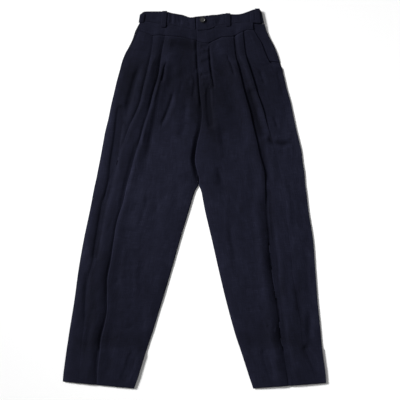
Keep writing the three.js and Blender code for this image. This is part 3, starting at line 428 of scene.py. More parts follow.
# Painted light and shade: broad patches of the cloth's colour, painted lighter where the light falls and
# darker where shade lies in the folds and hollows: x, y, half width, half height, amount.
PAINTED_LIGHT_AND_SHADE_AREAS = {
    "right": [
        [-90, 10, 70, 190, 0.25], [-160, -20, 28, 95, 0.5], [-70, 340, 120, 85, -0.75],
        [14, 250, 34, 66, -0.8], [-250, -300, 90, 120, -0.35], [-262, -110, 22, 130, -0.5],
        [-196, 190, 26, 90, -0.4], [-178, 320, 22, 60, -0.5], [-36, 30, 26, 34, 0.5],
        [-150, -60, 14, 50, -0.3], [-225, -382, 110, 22, -0.6], [-278, -300, 20, 70, -0.5],
        [-62, 262, 16, 40, 0.1], [-22, 235, 16, 34, 0.4], [-120, 335, 6, 50, 0.6],
        [-290, -50, 10, 90, 0.4], [-135, -345, 10, 50, 0.6], [-70, 372, 26, 34, 0.7],
        [-14, 414, 28, 17, -1], [-62, 422, 34, 9, -0.3],
    ],
    "left": [
        [262, 20, 44, 230, 0.25], [100, 310, 110, 110, -0.7], [26, 250, 34, 66, -0.8],
        [280, -360, 80, 110, -0.3], [66, 400, 30, 24, 0.6], [149, 276, 9, 34, -0.8],
        [161, 232, 10, 34, -1], [172, 186, 9, 26, -1], [182, 130, 8, 34, -0.6], [190, 62, 7, 40, -0.6],
        [196, -60, 26, 90, -0.35], [222, -270, 22, 110, -0.35], [22, 415, 26, 40, -0.4],
        [46, 200, 14, 26, -0.8], [50, 160, 24, 30, -0.35], [215, -380, 120, 22, -0.55],
        [190, -340, 16, 30, -0.4], [236, -240, 10, 40, -0.4], [322, -330, 12, 140, 0.5],
        [222, 154, 15, 7, -0.6], [238, 148, 12, 6, -0.5], [205, 160, 8, 10, -0.8],
        [278, -270, 16, 60, -0.5], [205, -60, 18, 70, -0.3], [262, 250, 20, 60, 0.4],
    ],
}
# Wear along the hem, the pocket edge and the inner pleat, and a painted highlight along the side seams and
# the inseam: how wide it is, where it ends, and then how strong it is.
WORN_HEM_ROWS = 0.12
WORN_POCKET_WIDTH = 2.5
WORN_PLEAT_WIDTH = 1.6
WORN_PLEAT_END_Y = -420
WORN_PLEAT_FADE = 900
SIDE_HIGHLIGHT_WIDTH = 13
INSEAM_HIGHLIGHT_WIDTH = 9
INSEAM_HIGHLIGHT_SHARE = 0.6
HIP_EDGE_Y = 390
HIP_EDGE_FADE = 110
WORN_HEM = 0.5
WORN_POCKET = 0.15
WORN_PLEAT = 0.12
SIDE_HIGHLIGHT = 0.6

# The back: the gap between its halves, and its soft creases off the table, in the same columns as the folds.
BACK_SEAM_GAP = 0.04
BACK_CREASE_TOP = 0.5
BACK_CREASES = {
    "right": [
        [-70, 380, -130, 260, -170, 90, 0.45, 11], [-20, 330, -60, 230, -90, 120, 0.35, 10],
        [-185, 80, -235, -140, -262, -420, 0.5, 10], [0, 170, -40, 130, -110, 110, 0.4, 8],
        [-70, 0, -130, -160, -150, -300, 0.35, 12], [-260, 110, -280, -20, -300, -160, 0.3, 9],
        [-200, -420, -260, -440, -320, -430, 0.25, 8],
    ],
    "left": [
        [90, 390, 135, 250, 180, 100, 0.45, 11], [40, 320, 66, 220, 104, 130, 0.35, 9],
        [190, 60, 215, -150, 250, -430, 0.5, 10], [20, 160, 60, 120, 130, 96, 0.4, 8],
        [90, -20, 120, -180, 160, -330, 0.35, 12], [280, 60, 290, -80, 310, -230, 0.3, 9],
        [170, -400, 230, -430, 310, -420, 0.25, 8],
    ],
}

# The yokes' lower seams dip and rise along their way from the side to the fly: share, dip.
SEAM_DIP = {
    "right": [
        [0, 0], [0.12, -2.7], [0.23, -7], [0.375, -2.1], [0.55, 0.8], [0.74, 2.8], [0.84, 1.9], [1, 0],
    ],
    "left": [
        [0, 0], [0.114, 4.9], [0.213, 1.4], [0.311, -3.4], [0.382, -6.3], [0.561, 0], [0.722, -5.6],
        [0.803, -9.5], [0.9, -4], [1, 3.5],
    ],
}
SEAM_DIP_ROWS = 3

# The waistband from the fly to the side: top x, top y, bottom x, bottom y.
BAND = {
    "right": np.array([
        [46, 488, 46, 461], [8, 490, 8, 454], [-11, 488, -11, 458], [-34, 495, -34, 462],
        [-58, 499, -57, 467], [-75, 503, -76, 467], [-93, 504, -95, 471], [-115, 504, -117, 475],
        [-136, 503, -137, 477], [-144, 497, -147, 477],
    ]),
    "left": np.array([
        [7.5, 490, 7.5, 453], [31, 492, 31, 455], [47, 494, 47, 459], [61, 495, 60, 466],
        [80, 498, 79, 469], [96, 497, 97, 471], [112, 496, 112, 473], [128, 498, 128, 474],
        [148, 505, 147, 475], [160, 509, 161, 474], [174, 509, 178, 473], [180, 504, 187, 472],
    ]),
}
# Creases in the band, in the same columns as the smaller creases.
BAND_MARKS = {
    "right": [
        [-70, 501, -70, 486, -71, 470, 0.9, 2.4, 0.1], [-62, 498, -62, 484, -62, 472, -1, 2.4, 0.1],
        [-54.5, 498, -54.5, 484, -55, 470, 0.9, 2.4, 0.1],
        [-41, 496, -40, 484, -37, 468, -0.9, 3.5, 0.1], [-18, 492, -15, 478, -12, 464, -0.8, 4, 0.1],
        [4, 488, 4.5, 472, 5, 456, -2.4, 2, 0.02], [-104, 500, -104, 488, -105, 478, -0.6, 6, 0.2],
    ],
    "left": [
        [148.8, 503, 148.8, 488, 148.8, 476, -0.9, 1.5, 0.05],
        [62, 470, 68, 480, 70, 492, -0.5, 4, 0.2], [30, 468, 42, 464, 58, 468, -0.6, 3, 0.2],
        [157, 504, 158, 492, 159, 478, 0.6, 3, 0.1], [120, 494, 121, 486, 120, 478, -0.5, 5, 0.2],
    ],
}

# Belt loops on the front of the band: x and y of the top end, then of the bottom end.
LOOPS = {
    "belt_loop_front_right": (-80, 505, -84, 461),
    "belt_loop_front_left": (90, 499, 90, 464),
    "belt_loop_side_left": (169, 511.5, 172, 472),
}
# The loop round the band's right side edge: its ends, and how far it lies on the band's front.
SIDE_LOOP = {"top": (-144.2, 497), "bottom": (-147.8, 474), "on_top": 9}

# The pocket facings from the band down: x and y at the pocket's edge, then at the side seam.
FACINGS = {
    "right": np.array([
        [-147, 472, -151, 468], [-149, 452, -160, 450], [-156, 437, -166, 432], [-164, 420, -173, 416],
        [-170, 409, -180, 402.5],
    ]),
    "left": np.array([
        [150, 471, 189, 470], [158, 455, 194, 453], [168, 439, 202, 435], [180, 420, 214, 413],
        [190, 394, 224, 389], [201, 372, 230, 368],
    ]),
}

# The back's lines above the first one that it shares with the front: side x and y, the centre's x, which is
# set later, and the centre's y.
BACK_HIP = {
    "right": np.array([
        [-148, 474.5, 0, 456], [-156, 456, 0, 440], [-165, 434, 0, 419], [-174, 415, 0, 400],
    ]),
    "left": np.array([
        [188, 470.5, 0, 456], [194, 453, 0, 440], [204, 431, 0, 419], [214, 413, 0, 400],
        [224, 388, 0, 378],
    ]),
}
BACK_FIRST_ROW = {"right": 4, "left": 6}
SIGN = {"right": -1, "left": 1}


# Shaping of the cloth


def smooth(t):
    """Goes from 0 to 1 as t does, with soft ends."""
    t = np.clip(t, 0, 1)
    return t * t * (3 - 2 * t)


def lerp(a, b, t):
    """The value at the share t of the way from a to b."""
    return a + (b - a) * t


def bell(t):
    """A soft hump, 1 high at its middle."""
    return np.exp(-(t * t))


def waves(rows, y):
    """Unsteadiness down a leg: each row is the length of a wave, its start and its share."""
    return sum(share * np.sin(y / length + start) for length, start, share in rows)


def through(rows, v):
    """The rows of a table at the positions v, run smoothly through its values."""
    rows = np.asarray(rows, float)
    v = np.atleast_1d(np.asarray(v, float))
    last = len(rows) - 1
    i = np.clip(np.floor(v).astype(int), 0, last - 1)
    t = (v - i)[:, None]
    a, b, c, d = (rows[np.clip(i + k, 0, last)] for k in (-1, 0, 1, 2))
    return b + 0.5 * t * (c - a + t * (2 * a - 5 * b + 4 * c - d + t * (3 * (b - c) + d - a)))


def at_height(rows, y):
    """The columns of a table whose first column falls, at the heights y."""
    rows = np.asarray(rows, float)
    return [np.interp(-y, -rows[:, 0], rows[:, k]) for k in range(1, rows.shape[1])]


def crease_x(side, kind, y):
    """The x of a crease at the heights y, smoothed over a short stretch."""
    rows = CREASES[side][kind]
    near = [at_height(rows, y + spot * CREASE_SMOOTHING)[0] for spot in CREASE_SPOTS]
    middle = sum(near) / len(near)
    free = smooth((LAYERS_END_Y - y) / LAYERS_END_FADE)
    return middle + CREASE_BESIDE_SHADE[side] + CREASE_WOBBLE * waves(CREASE_WAVES, y) * free


def fold_heights(folds, x, y, beside=(0, 0)):
    """The height that a table of folds adds at the points x, y. Each fold is a curve through its points."""
    total = np.zeros_like(x)
    t = np.linspace(0, 1, FOLD_STEPS + 1)
    for x0, y0, x1, y1, x2, y2, height, width, *given in folds:
        soon = given[0] if given else FOLD_FADE
        pull_x, pull_y = 2 * x1 - (x0 + x2) / 2, 2 * y1 - (y0 + y2) / 2
        px = (1 - t) ** 2 * x0 + 2 * t * (1 - t) * pull_x + t * t * x2 + beside[0] * width
        py = (1 - t) ** 2 * y0 + 2 * t * (1 - t) * pull_y + t * t * y2 + beside[1] * width
        near = np.full(x.shape, np.inf)
        along = np.zeros_like(x)
        for i in range(FOLD_STEPS):
            dx, dy = px[i + 1] - px[i], py[i + 1] - py[i]
            s = np.clip(((x - px[i]) * dx + (y - py[i]) * dy) / (dx * dx + dy * dy), 0, 1)
            away = np.hypot(x - px[i] - dx * s, y - py[i] - dy * s)
            closer = away < near
            near = np.where(closer, away, near)
            along = np.where(closer, (i + s) / FOLD_STEPS, along)
        fade = smooth(along / soon) * smooth((1 - along) / soon)
        total += height * fade * bell(near / width)
    return total


class Sections:
    """Cross sections of a leg at the row positions v."""

    def __init__(self, side, v):
        self.side = side
        self.v = np.asarray(v, float)[:, None]
        ends = through(SECTIONS[side], v)
        self.ox, self.oy, self.ix, self.iy = (ends[:, k : k + 1] for k in range(4))
        self.width = np.hypot(self.ix - self.ox, self.iy - self.oy)
        self.ax = (self.ix - self.ox) / self.width
        self.ay = (self.iy - self.oy) / self.width

    def crease_share(self, kind):
        """The share of the way across at which each section meets a crease."""
        share = np.full_like(self.ox, 0.5)
        for _ in range(CREASE_ROUNDS):
            x = crease_x(self.side, kind, lerp(self.oy, self.iy, share))
            share = np.clip((x - self.ox) / (self.ix - self.ox), 0, 1)
        return share


def even_rows(side, count):
    """Row positions spaced evenly down the leg, and the leg's length."""
    v = np.linspace(0, len(SECTIONS[side]) - 1, ROW_SAMPLES)
    s = Sections(side, v)
    mx, my = (s.ox + s.ix)[:, 0] / 2, (s.oy + s.iy)[:, 0] / 2
    length = np.concatenate([[0], np.cumsum(np.hypot(np.diff(mx), np.diff(my)))])
    return np.interp(np.linspace(0, length[-1], count), length, v), length[-1]


def below_hem_seam(side, x, y):
    """How far a place lies below the hem's stitching."""
    ox, oy, ix, iy = SECTIONS[side][-1]
    return HEM_DEPTH - (y - lerp(oy, iy, (x - ox) / (ix - ox)))


def in_hem(side, x, y):
    return smooth(below_hem_seam(side, x, y) / HEM_STEP)


def wall_at(side, x, y):
    return lerp(CLOTH, HEM_CLOTH, in_hem(side, x, y))


def waist_raise(v):
    return WAIST_RAISE * (1 - smooth(v / WAIST_RAISE_ROWS))


def fly_lift(away):
    return EDGE_LIFT * (1 - smooth((away - FLY_LIFT_REACH) / LIFT_FALL))


def pocket_lift(away):
    return EDGE_LIFT * (1 - smooth((away - POCKET_LIFT_REACH) / LIFT_FALL))


# The pleats and the long creases


def pleat_turns(under, turn, radius):
    """Places and heights along a pleat's two turns, for arrays of rows."""
    turn = np.radians(turn)
    a = turn * np.linspace(0, 1, TURN_STEPS)[None, :]
    first = (radius * np.sin(a), radius * (1 - np.cos(a)))
    end_place = radius * np.sin(turn) + under * np.cos(turn)
    end_height = radius * (1 - np.cos(turn)) + under * np.sin(turn)
    hidden = np.linspace(0, 1, HIDDEN_STEPS + 2)[None, 1:-1]
    between = (lerp(first[0][:, -1:], end_place, hidden), lerp(first[1][:, -1:], end_height, hidden))
    b = a[:, ::-1]
    second = (
        end_place + radius * (np.sin(turn) - np.sin(b)),
        end_height + radius * (np.cos(b) - np.cos(turn)),
    )
    edge = np.minimum(turn, math.pi / 2)
    edge_place = end_place + radius * (np.sin(turn) - np.sin(edge))
    places = np.concatenate([first[0], between[0], second[0]], axis=1) - edge_place
    return places, np.concatenate([first[1], between[1], second[1]], axis=1)


def turned_over(side, y):
    """How far the left leg's long crease has turned over at a height."""
    return smooth((TURN_OVER_Y - y) / TURN_OVER_FADE) * (1 if side == "left" else 0)


def pleat_at(side, kind, y):
    """A pleat's folding at the heights y, in the columns of its table."""
    under, turn, radius, trough, fall = at_height(PLEATS[kind], y)
    radius = radius * at_height(EDGE_SHARES[side][kind], y)[0]
    if kind == "outer":
        fall = fall * OUTER_FALL_SHARE[side]
    if kind == "inner":
        over = turned_over(side, y)
        turn = lerp(turn, TURN_OVER_TURN, over)
        trough = trough * (1 - over)
    return under, turn, radius, trough, fall


def long_crease_height(side, x, y):
    """The valley beside the long crease, and the edge that stands up where it has turned over."""
    away = x - crease_x(side, "inner", y)
    valley = VALLEYS[side]
    depth, at, outer_width, inner_width = valley["hollow"]
    width = np.where(away < at, outer_width, inner_width)
    high, high_at, high_width = valley["ridge"]
    down = at_height(valley["down"], y)[0] * (1 + waves(VALLEY_WAVES, y))
    relief = down * (high * bell((away - high_at) / high_width) - depth * bell((away - at) / width))
    if side == "left":
        beyond = away - TURN_OVER_BEYOND
        risen = smooth(beyond / TURN_OVER_RISE + 0.5)
        stand = TURN_OVER_HEIGHT * risen * np.exp(-np.maximum(beyond, 0) / TURN_OVER_FALL)
        relief = relief + stand * turned_over(side, y)
    return relief


def crotch_height(side, inner, y):
    """The drop of the right front into the valley, and the left front's edge that doesn't fall."""
    down = at_height(CROTCH_VALLEY, y)[0]
    if side == "left":
        return down * CROTCH_EDGE_UP * PUFF_HEIGHT * np.exp(-inner / PUFF_EDGE)
    back = np.exp(-np.maximum(inner - CROTCH_DROP_WIDTH, 0) / CROTCH_DROP_REACH)
    return down * CROTCH_DROP * smooth(inner / CROTCH_DROP_WIDTH) * back


def under_fly(sec):
    """How far the right front runs on below the left one."""
    if sec.side == "left":
        return 0
    reach = lerp(CROTCH_UNDERLAP, FLY_UNDERLAP, smooth((sec.iy - FLY_UNDERLAP_Y) / FLY_UNDERLAP_FADE))
    return reach * smooth((sec.iy - CROTCH_Y - CROTCH_UNDERLAP_CLEAR) / CROTCH_UNDERLAP_FADE)


def front_line(sec):
    """The middle line across a front: places and heights, and the shares of the pleats' edges."""
    share, pleat, turns = {}, {}, {}
    for kind in ("outer", "inner"):
        share[kind] = sec.crease_share(kind)
        pleat[kind] = pleat_at(sec.side, kind, lerp(sec.oy, sec.iy, share[kind]))
        turns[kind] = pleat_turns(*pleat[kind][:3])
    outer_at, inner_at = share["outer"] * sec.width, share["inner"] * sec.width
    outer_end = outer_at + turns["outer"][0][:, :1]
    strip_start = outer_at + pleat["outer"][0] + PAST_LAYERS
    strip_end = inner_at + turns["inner"][0][:, :1]
    rest_start = inner_at + pleat["inner"][0] + PAST_LAYERS

    t = np.linspace(0, 1, OUTER_COLUMNS + 1)[None, :-1]
    outer = outer_end * lerp(t, smooth(t), DENSER_AT_ENDS)
    strip = lerp(strip_start, strip_end, np.linspace(0, 1, STRIP_COLUMNS + 1)[None, :-1])
    rest = lerp(rest_start, sec.width + under_fly(sec), np.linspace(0, 1, INNER_COLUMNS)[None, :])

    def strip_height(at):
        return turns["outer"][1][:, -1:] * (1 - smooth((at - strip_start) / pleat["outer"][4]))

    inner_turns = strip_height(strip_end) + turns["inner"][1]
    rest_height = inner_turns[:, -1:] * (1 - smooth((rest - rest_start) / pleat["inner"][4]))
    places = [outer, outer_at + turns["outer"][0], strip, inner_at + turns["inner"][0], rest]
    heights = [np.zeros_like(outer), turns["outer"][1], strip_height(strip), inner_turns, rest_height]
    return np.concatenate(places, axis=1), np.concatenate(heights, axis=1), share


# What makes a front stand off the back


def edge_rise(away):
    return 1 - np.exp(-np.maximum(0, away) / PUFF_EDGE)


def puff_height(sec, across, x, y):
    """The cloth's own rise between its seams, lower at the waist and in the hem."""
    inner = np.maximum(0, sec.width - across)
    puff = PUFF_HEIGHT * edge_rise(across) * edge_rise(inner)
    puff = puff * lerp(1, HEM_PUFF_SHARE, in_hem(sec.side, x, y))
    return puff * lerp(PUFF_TOP_SHARE, 1, smooth((sec.v + PUFF_TOP_LEAD) / PUFF_TOP_ROWS))


def crease_height(sec, across, x, y, share):
    """The folds and smaller creases, outside the pleats' layers, and the troughs beside the pleats."""
    side = sec.side
    relief = fold_heights(FOLDS[side], x, y, BESIDE_SHADE)
    relief = relief + MARK_DEPTH * fold_heights(CREASE_MARKS[side], x, y, BESIDE_SHADE)
    for kind in ("outer", "inner"):
        under, turn, _, trough, _ = pleat_at(side, kind, y)
        before = share[kind] * sec.width - across
        inside = smooth((before + under + LAYER_MARGIN) / LAYER_FADE)
        inside = inside * smooth((LAYER_MARGIN - before) / LAYER_FADE)
        relief = relief * (1 - inside * smooth((turn - LAYERS_FROM_TURN) / LAYERS_TURN_FADE))
        spread = np.where(before > 0, TROUGH_FRONT[side], TROUGH_BEHIND)
        relief = relief - TROUGH_SHARE[side] * trough * bell(before / spread)
    return relief


def fly_height(side, x, y):
    """The left front's puckers and thicker facing at the fly, and the right front's hollow beside it."""
    if side == "right":
        return fold_heights(FLY_HOLLOW, x, y)
    outline = at_height(FLY_OUTLINE, y)[0]
    ends = smooth((y - FLY_BOTTOM) / FLY_BOTTOM_FADE) * (1 - smooth((y - FLY_TOP) / FLY_TOP_FADE))
    facing_height = FLY_THICKER * smooth((outline - x) / FLY_EDGE_FADE) * ends
    return fold_heights(FLY_MARKS, x, y, BESIDE_SHADE) + facing_height


def hem_seam_height(side, x, y):
    """The uneven ridge where the hem is sewn."""
    uneven = lerp(1, np.sin(x / HEM_RIDGE_WAVE), HEM_RIDGE_UNEVEN)
    return HEM_RIDGE * bell(below_hem_seam(side, x, y) / HEM_RIDGE_WIDTH) * uneven


def lap_height(sec, across):
    """The lift of an edge that laps over the pocket facing or, at the fly, over the other front."""
    lift = pocket_lift(across) * (1 - smooth(sec.v - POCKET_END_ROW[sec.side] + 1))
    if sec.side == "left":
        above_crotch = smooth((sec.iy - CROTCH_Y + CROTCH_LEAD) / CROTCH_FADE)
        lift = lift + above_crotch * fly_lift(sec.width - across)
    return lift


def front_stand(sec, across, x, y, share):
    """How far a front stands off the back cloth, besides the layers of its pleats."""
    side = sec.side
    inner = np.maximum(0, sec.width - across)
    held = smooth(across / PUFF_SEAM_FADE) * smooth(inner / PUFF_SEAM_FADE)
    wanted = puff_height(sec, across, x, y)
    wanted = wanted + crease_height(sec, across, x, y, share) * lerp(SEAM_RELIEF_SHARE, 1, held)
    wanted = wanted + fly_height(side, x, y) + hem_seam_height(side, x, y)
    wanted = wanted + long_crease_height(side, x, y) + crotch_height(side, inner, y)
    resting = (wanted + np.sqrt(wanted * wanted + REST_SOFTNESS)) / 2
    return resting + lap_height(sec, across)


# Sheets of cloth


def place(name, bm):
    """Puts a finished shape into the scene."""
    mesh = bpy.data.meshes.new(name)
    bm.normal_update()
    bm.to_mesh(mesh)
    bm.free()
    obj = bpy.data.objects.new(name, mesh)
    bpy.context.collection.objects.link(obj)
    return obj


def sheet_mesh(name, x, y, z, worn=None):
    """A grid of cloth through rows of points in millimetres, with its own weave coordinates in metres."""
    rows, columns = x.shape
    bm = bmesh.new()
    bmesh.ops.create_grid(bm, x_segments=columns - 1, y_segments=rows - 1, size=1)
    bm.verts.ensure_lookup_table()
    step_u = np.hypot(np.hypot(np.diff(x, axis=1), np.diff(y, axis=1)), np.diff(z, axis=1))
    u = np.concatenate([np.zeros((rows, 1)), np.cumsum(step_u, axis=1)], axis=1)
    u = u - u[:, -1:] / 2
    step_v = np.hypot(np.diff(x, axis=0), np.diff(y, axis=0)).mean(axis=1)
    v = np.concatenate([[0], np.cumsum(step_v)])
    # Each point keeps the cloth's wear together with its painted light and shade, which the cloth's colour
    # reads.
    wear_and_light_layer = bm.verts.layers.float.new("worn")
    for k, vert in enumerate(bm.verts):
        j, i = divmod(k, columns)
        vert.co = (x[j, i] * MM, y[j, i] * MM, z[j, i] * MM)
        vert[wear_and_light_layer] = 0.0 if worn is None else float(worn[j, i])
    uv = bm.loops.layers.uv.new("weave")
    for face in bm.faces:
        face.smooth = True
        for loop in face.loops:
            j, i = divmod(loop.vert.index, columns)
            loop[uv].uv = (u[j, i] * MM, v[j] * MM)
    if sum(face.normal.z * face.calc_area() for face in bm.faces) < 0:
        bmesh.ops.reverse_faces(bm, faces=bm.faces)
    return place(name, bm)


ROUND_SEGMENTS = 3
ROUND_FROM_ANGLE = math.radians(60)


def thicken(obj, thickness, rounded):
    """Gives a sheet its thickness and, where it is a thick one, rounded edges."""
    solid = obj.modifiers.new("cloth thickness", "SOLIDIFY")
    solid.thickness = thickness * MM
    solid.offset = 0
    if rounded:
        bevel = obj.modifiers.new("soft edges", "BEVEL")
        bevel.width = rounded * MM
        bevel.segments = ROUND_SEGMENTS
        bevel.limit_method = "ANGLE"
        bevel.angle_limit = ROUND_FROM_ANGLE


def ripple(x, y, piece):
    """Small random unevenness of a piece's cloth."""
    size, height, stretch, at = UNEVEN[piece]
    places = zip(x.ravel() / size, y.ravel() / (size * stretch))
    heights = [noise.noise(Vector((px, py, at))) for px, py in places]
    return height * np.array(heights).reshape(x.shape)


# Materials


class Shade:
    """One socket of a material. Arithmetic on it adds the Math nodes, and node() adds any other."""

    def __init__(self, tree, socket=None):
        self.tree = tree
        self.socket = socket

    def node(self, kind, settings, sockets, output=0):
        made = self.tree.nodes.new(kind)
        for key, value in settings.items():
            if key == "stops":
                ramp = made.color_ramp
                while len(ramp.elements) < len(value):
                    ramp.elements.new(0.5)
                for stop, (position, colour) in zip(ramp.elements, value):
                    stop.position = position
                    stop.color = colour
            else:
                setattr(made, key, value)
        for key, value in sockets.items():
            if isinstance(value, Shade):
                self.tree.links.new(value.socket, made.inputs[key])
            else:
                made.inputs[key].default_value = value
        return Shade(self.tree, made.outputs[output])

    def feed(self, shader, name):
        self.tree.links.new(self.socket, shader.inputs[name])

    def math(self, operation, a, b=0.0):
        return self.node("ShaderNodeMath", {"operation": operation}, {0: a, 1: b})

    def __add__(self, other):
        return self.math("ADD", self, other)

    __radd__ = __add__

    def __sub__(self, other):
        return self.math("SUBTRACT", self, other)

    def __rsub__(self, other):
        return self.math("SUBTRACT", other, self)

    def __mul__(self, other):
        return self.math("MULTIPLY", self, other)

    __rmul__ = __mul__

    def sine(self):
        return self.math("SINE", self)


def new_material(name):
    material = bpy.data.materials.new(name)
    material.use_nodes = True
    return material, Shade(material.node_tree), material.node_tree.nodes["Principled BSDF"]


def grain(paint, place_in, scale, detail=2.0, roughness=0.5):
    """Fine noise: a scale for each way draws it out, and a single one leaves it even."""
    if isinstance(scale, tuple):
        place_in = paint.node("ShaderNodeMapping", {}, {"Vector": place_in, "Scale": scale})
        scale = 1
    settings = {"Vector": place_in, "Scale": scale, "Detail": detail, "Roughness": roughness}
    return paint.node("ShaderNodeTexNoise", {}, settings)


def object_place(paint):
    return paint.node("ShaderNodeTexCoord", {}, {}, 3)


def tinted(paint, shader, amount, dark, light):
    """Mixes two colours by an amount into the base colour."""
    tint = {0: amount, 6: dark, 7: light}
    paint.node("ShaderNodeMix", {"data_type": "RGBA"}, tint, 2).feed(shader, "Base Color")


def uniform(shader, **values):
    """Sets a shader's plain values: a socket's name has an underscore for each space."""
    for name, value in values.items():
        shader.inputs[name.replace("_", " ")].default_value = value


# The cloth's navy from deep to pale: its random yarn tone, its wear and its painted light and shade move it
# between these.
NAVY_DEEP = (0.0028, 0.0030, 0.0070, 1)
NAVY = (0.0068, 0.0073, 0.0162, 1)
NAVY_PALE = (0.0160, 0.0170, 0.0330, 1)
SHEEN_BLUE = (0.55, 0.58, 0.75, 1)
THREAD_PITCH = 0.0011
WEFT_GRAIN = (38, 620, 1)
WARP_GRAIN = (680, 26, 1)
MOTTLE_GRAIN = (64, 27, 1)
CLOUD_GRAIN = 9

# How much each part of the cloth's look counts in its shade, the wear together with the painted light and
# shade among them, and the middle of their sum.
YARN_SHADE = 1.6
MOTTLE_SHADE = 0.45
CLOUD_SHADE = 0.5
WEAR_AND_PAINTED_LIGHT_SHADE = 0.4
WEAVE_SHADE = 0.03
SHADE_MIDDLE = 0.835


def cloth_material(name, slub=1.0):
    """Navy plain weave with thick and thin yarns, its colour a little lighter along worn edges and carrying
    painted light and shade.
    """
    material, paint, shader = new_material(name)
    uv = paint.node("ShaderNodeUVMap", {"uv_map": "weave"}, {})
    weft_yarn = grain(paint, uv, WEFT_GRAIN, 2, 0.6)
    warp_yarn = grain(paint, uv, WARP_GRAIN, 2, 0.6)
    cloud = grain(paint, uv, CLOUD_GRAIN, 4, 0.6)
    mottle = grain(paint, uv, MOTTLE_GRAIN, 3, 0.55)
    across = paint.node("ShaderNodeSeparateXYZ", {}, {0: uv})
    along = paint.node("ShaderNodeSeparateXYZ", {}, {0: uv}, 1)
    turns = 2 * math.pi / THREAD_PITCH
    weave = (across * turns).sine() * (along * turns).sine()
    # The cloth's wear together with its painted light and shade and its painted highlight along the seams.
    worn = paint.node("ShaderNodeAttribute", {"attribute_name": "worn"}, {}, 2)
    yarn = weft_yarn * 0.5 + warp_yarn * 0.5
    shade = yarn * YARN_SHADE + mottle * MOTTLE_SHADE + cloud * CLOUD_SHADE
    shade = shade + worn * WEAR_AND_PAINTED_LIGHT_SHADE + weave * WEAVE_SHADE - SHADE_MIDDLE
    stops = [(0.0, NAVY_DEEP), (0.5, NAVY), (1.0, NAVY_PALE)]
    paint.node("ShaderNodeValToRGB", {"stops": stops}, {0: shade}).feed(shader, "Base Color")
    (0.82 + yarn * 0.16).feed(shader, "Roughness")
    relief = weft_yarn * (0.5 * slub) + warp_yarn * (0.45 * slub) + weave * 0.08
    bump = {"Strength": 0.6, "Distance": 0.0009, "Height": relief}
    paint.node("ShaderNodeBump", {}, bump).feed(shader, "Normal")
    uniform(shader, Specular_IOR_Level=0.08, Sheen_Weight=0.012, Sheen_Roughness=0.5, Sheen_Tint=SHEEN_BLUE)
    return material


def thread_material():
    """Dark twisted sewing thread."""
    material, paint, shader = new_material("navy sewing thread")
    fuzz = grain(paint, object_place(paint), 2400)
    tinted(paint, shader, fuzz, (0.003, 0.003, 0.006, 1), (0.010, 0.010, 0.018, 1))
    bump = {"Strength": 0.4, "Distance": 0.0002, "Height": fuzz}
    paint.node("ShaderNodeBump", {}, bump).feed(shader, "Normal")
    uniform(shader, Roughness=0.6, Specular_IOR_Level=0.2)
    return material


def button_material():
    """Dark polished horn-like plastic with faint streaks."""
    material, paint, shader = new_material("dark polished button")
    streaks = grain(paint, object_place(paint), (900, 160, 400), 3)
    tinted(paint, shader, streaks, (0.004, 0.004, 0.005, 1), (0.018, 0.017, 0.017, 1))
    (0.24 + streaks * 0.14).feed(shader, "Roughness")
    uniform(shader, Coat_Weight=0.25, Coat_Roughness=0.08)
    return material


def table_material():
    """Plain pale board."""
    material, paint, shader = new_material("pale table")
    speck = grain(paint, object_place(paint), 300)
    tinted(paint, shader, speck, (0.93, 0.93, 0.93, 1), (0.96, 0.96, 0.96, 1))
    uniform(shader, Roughness=0.9)
    return material


CLOTH_DOWN = cloth_material("navy slubbed cloth")
CLOTH_ALONG = cloth_material("navy slubbed cloth of the waist", 1.2)
THREAD = thread_material()

# The middle surfaces of the pieces, for the stitches on them, and the fronts' top edges, for the yokes
SURFACES = []
TOP_EDGE = {}


def remember(obj, lift):
    """Keeps a piece's middle surface, so that what lies on it can be set down on it."""
    bm = bmesh.new()
    bm.from_mesh(obj.data)
    SURFACES.append((BVHTree.FromBMesh(bm), lift))
    bm.free()


def surface_z(x, y):
    """The height of the highest cloth at a place, in millimetres."""
    best = 0.0
    for tree, lift in SURFACES:
        hit = tree.ray_cast(Vector((x, y, ABOVE_ALL)) * MM, Vector((0, 0, -1)))[0]
        if hit is not None:
            best = max(best, hit.z / MM + lift)
    return best


def cut_piece(name, node, points, material, on="", worn=None, thickness=SHELL, lift=CLOTH_TOP, rounded=0):
    """Makes a piece of cloth through rows of points, in place of its solid. Its argument on, the piece it
    would lie on, is not used.
    """
    piece = sheet_mesh(name, *points, worn)
    piece.data.materials.append(material)
    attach(piece, "root")
    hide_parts(node)
    remember(piece, lift)
    thicken(piece, thickness, rounded)


# The leg panels


def painted_light_and_shade(side, x, y):
    """How far painted light lightens the cloth's colour at a place, below zero where painted shade darkens
    it.
    """
    total = np.zeros_like(x)
    for at_x, at_y, half_x, half_y, amount in PAINTED_LIGHT_AND_SHADE_AREAS[side]:
        total = total + amount * bell((x - at_x) / half_x) * bell((y - at_y) / half_y)
    return total


def wear_and_edge_highlight(sec, across, y, share, last_row):
    """The wear along a front's hem, pocket edge and inner pleat, and the painted highlight along its side
    seams and inseam.
    """
    on_hem = bell((sec.v - last_row) / WORN_HEM_ROWS)
    on_pocket = bell(across / WORN_POCKET_WIDTH) * (sec.v < POCKET_END_ROW[sec.side])
    on_pleat = bell((across - share["inner"] * sec.width) / WORN_PLEAT_WIDTH)
    on_pleat = on_pleat * smooth((sec.iy - WORN_PLEAT_END_Y) / WORN_PLEAT_FADE)
    on_inseam = bell((sec.width - across) / INSEAM_HIGHLIGHT_WIDTH) * (sec.iy < CROTCH_Y)
    on_seams = bell(across / SIDE_HIGHLIGHT_WIDTH) + INSEAM_HIGHLIGHT_SHARE * on_inseam
    on_seams = on_seams * smooth((HIP_EDGE_Y - y) / HIP_EDGE_FADE)
    worn = WORN_HEM * on_hem + WORN_POCKET * on_pocket + WORN_PLEAT * on_pleat + SIDE_HIGHLIGHT * on_seams
    return np.clip(worn, 0, 1)


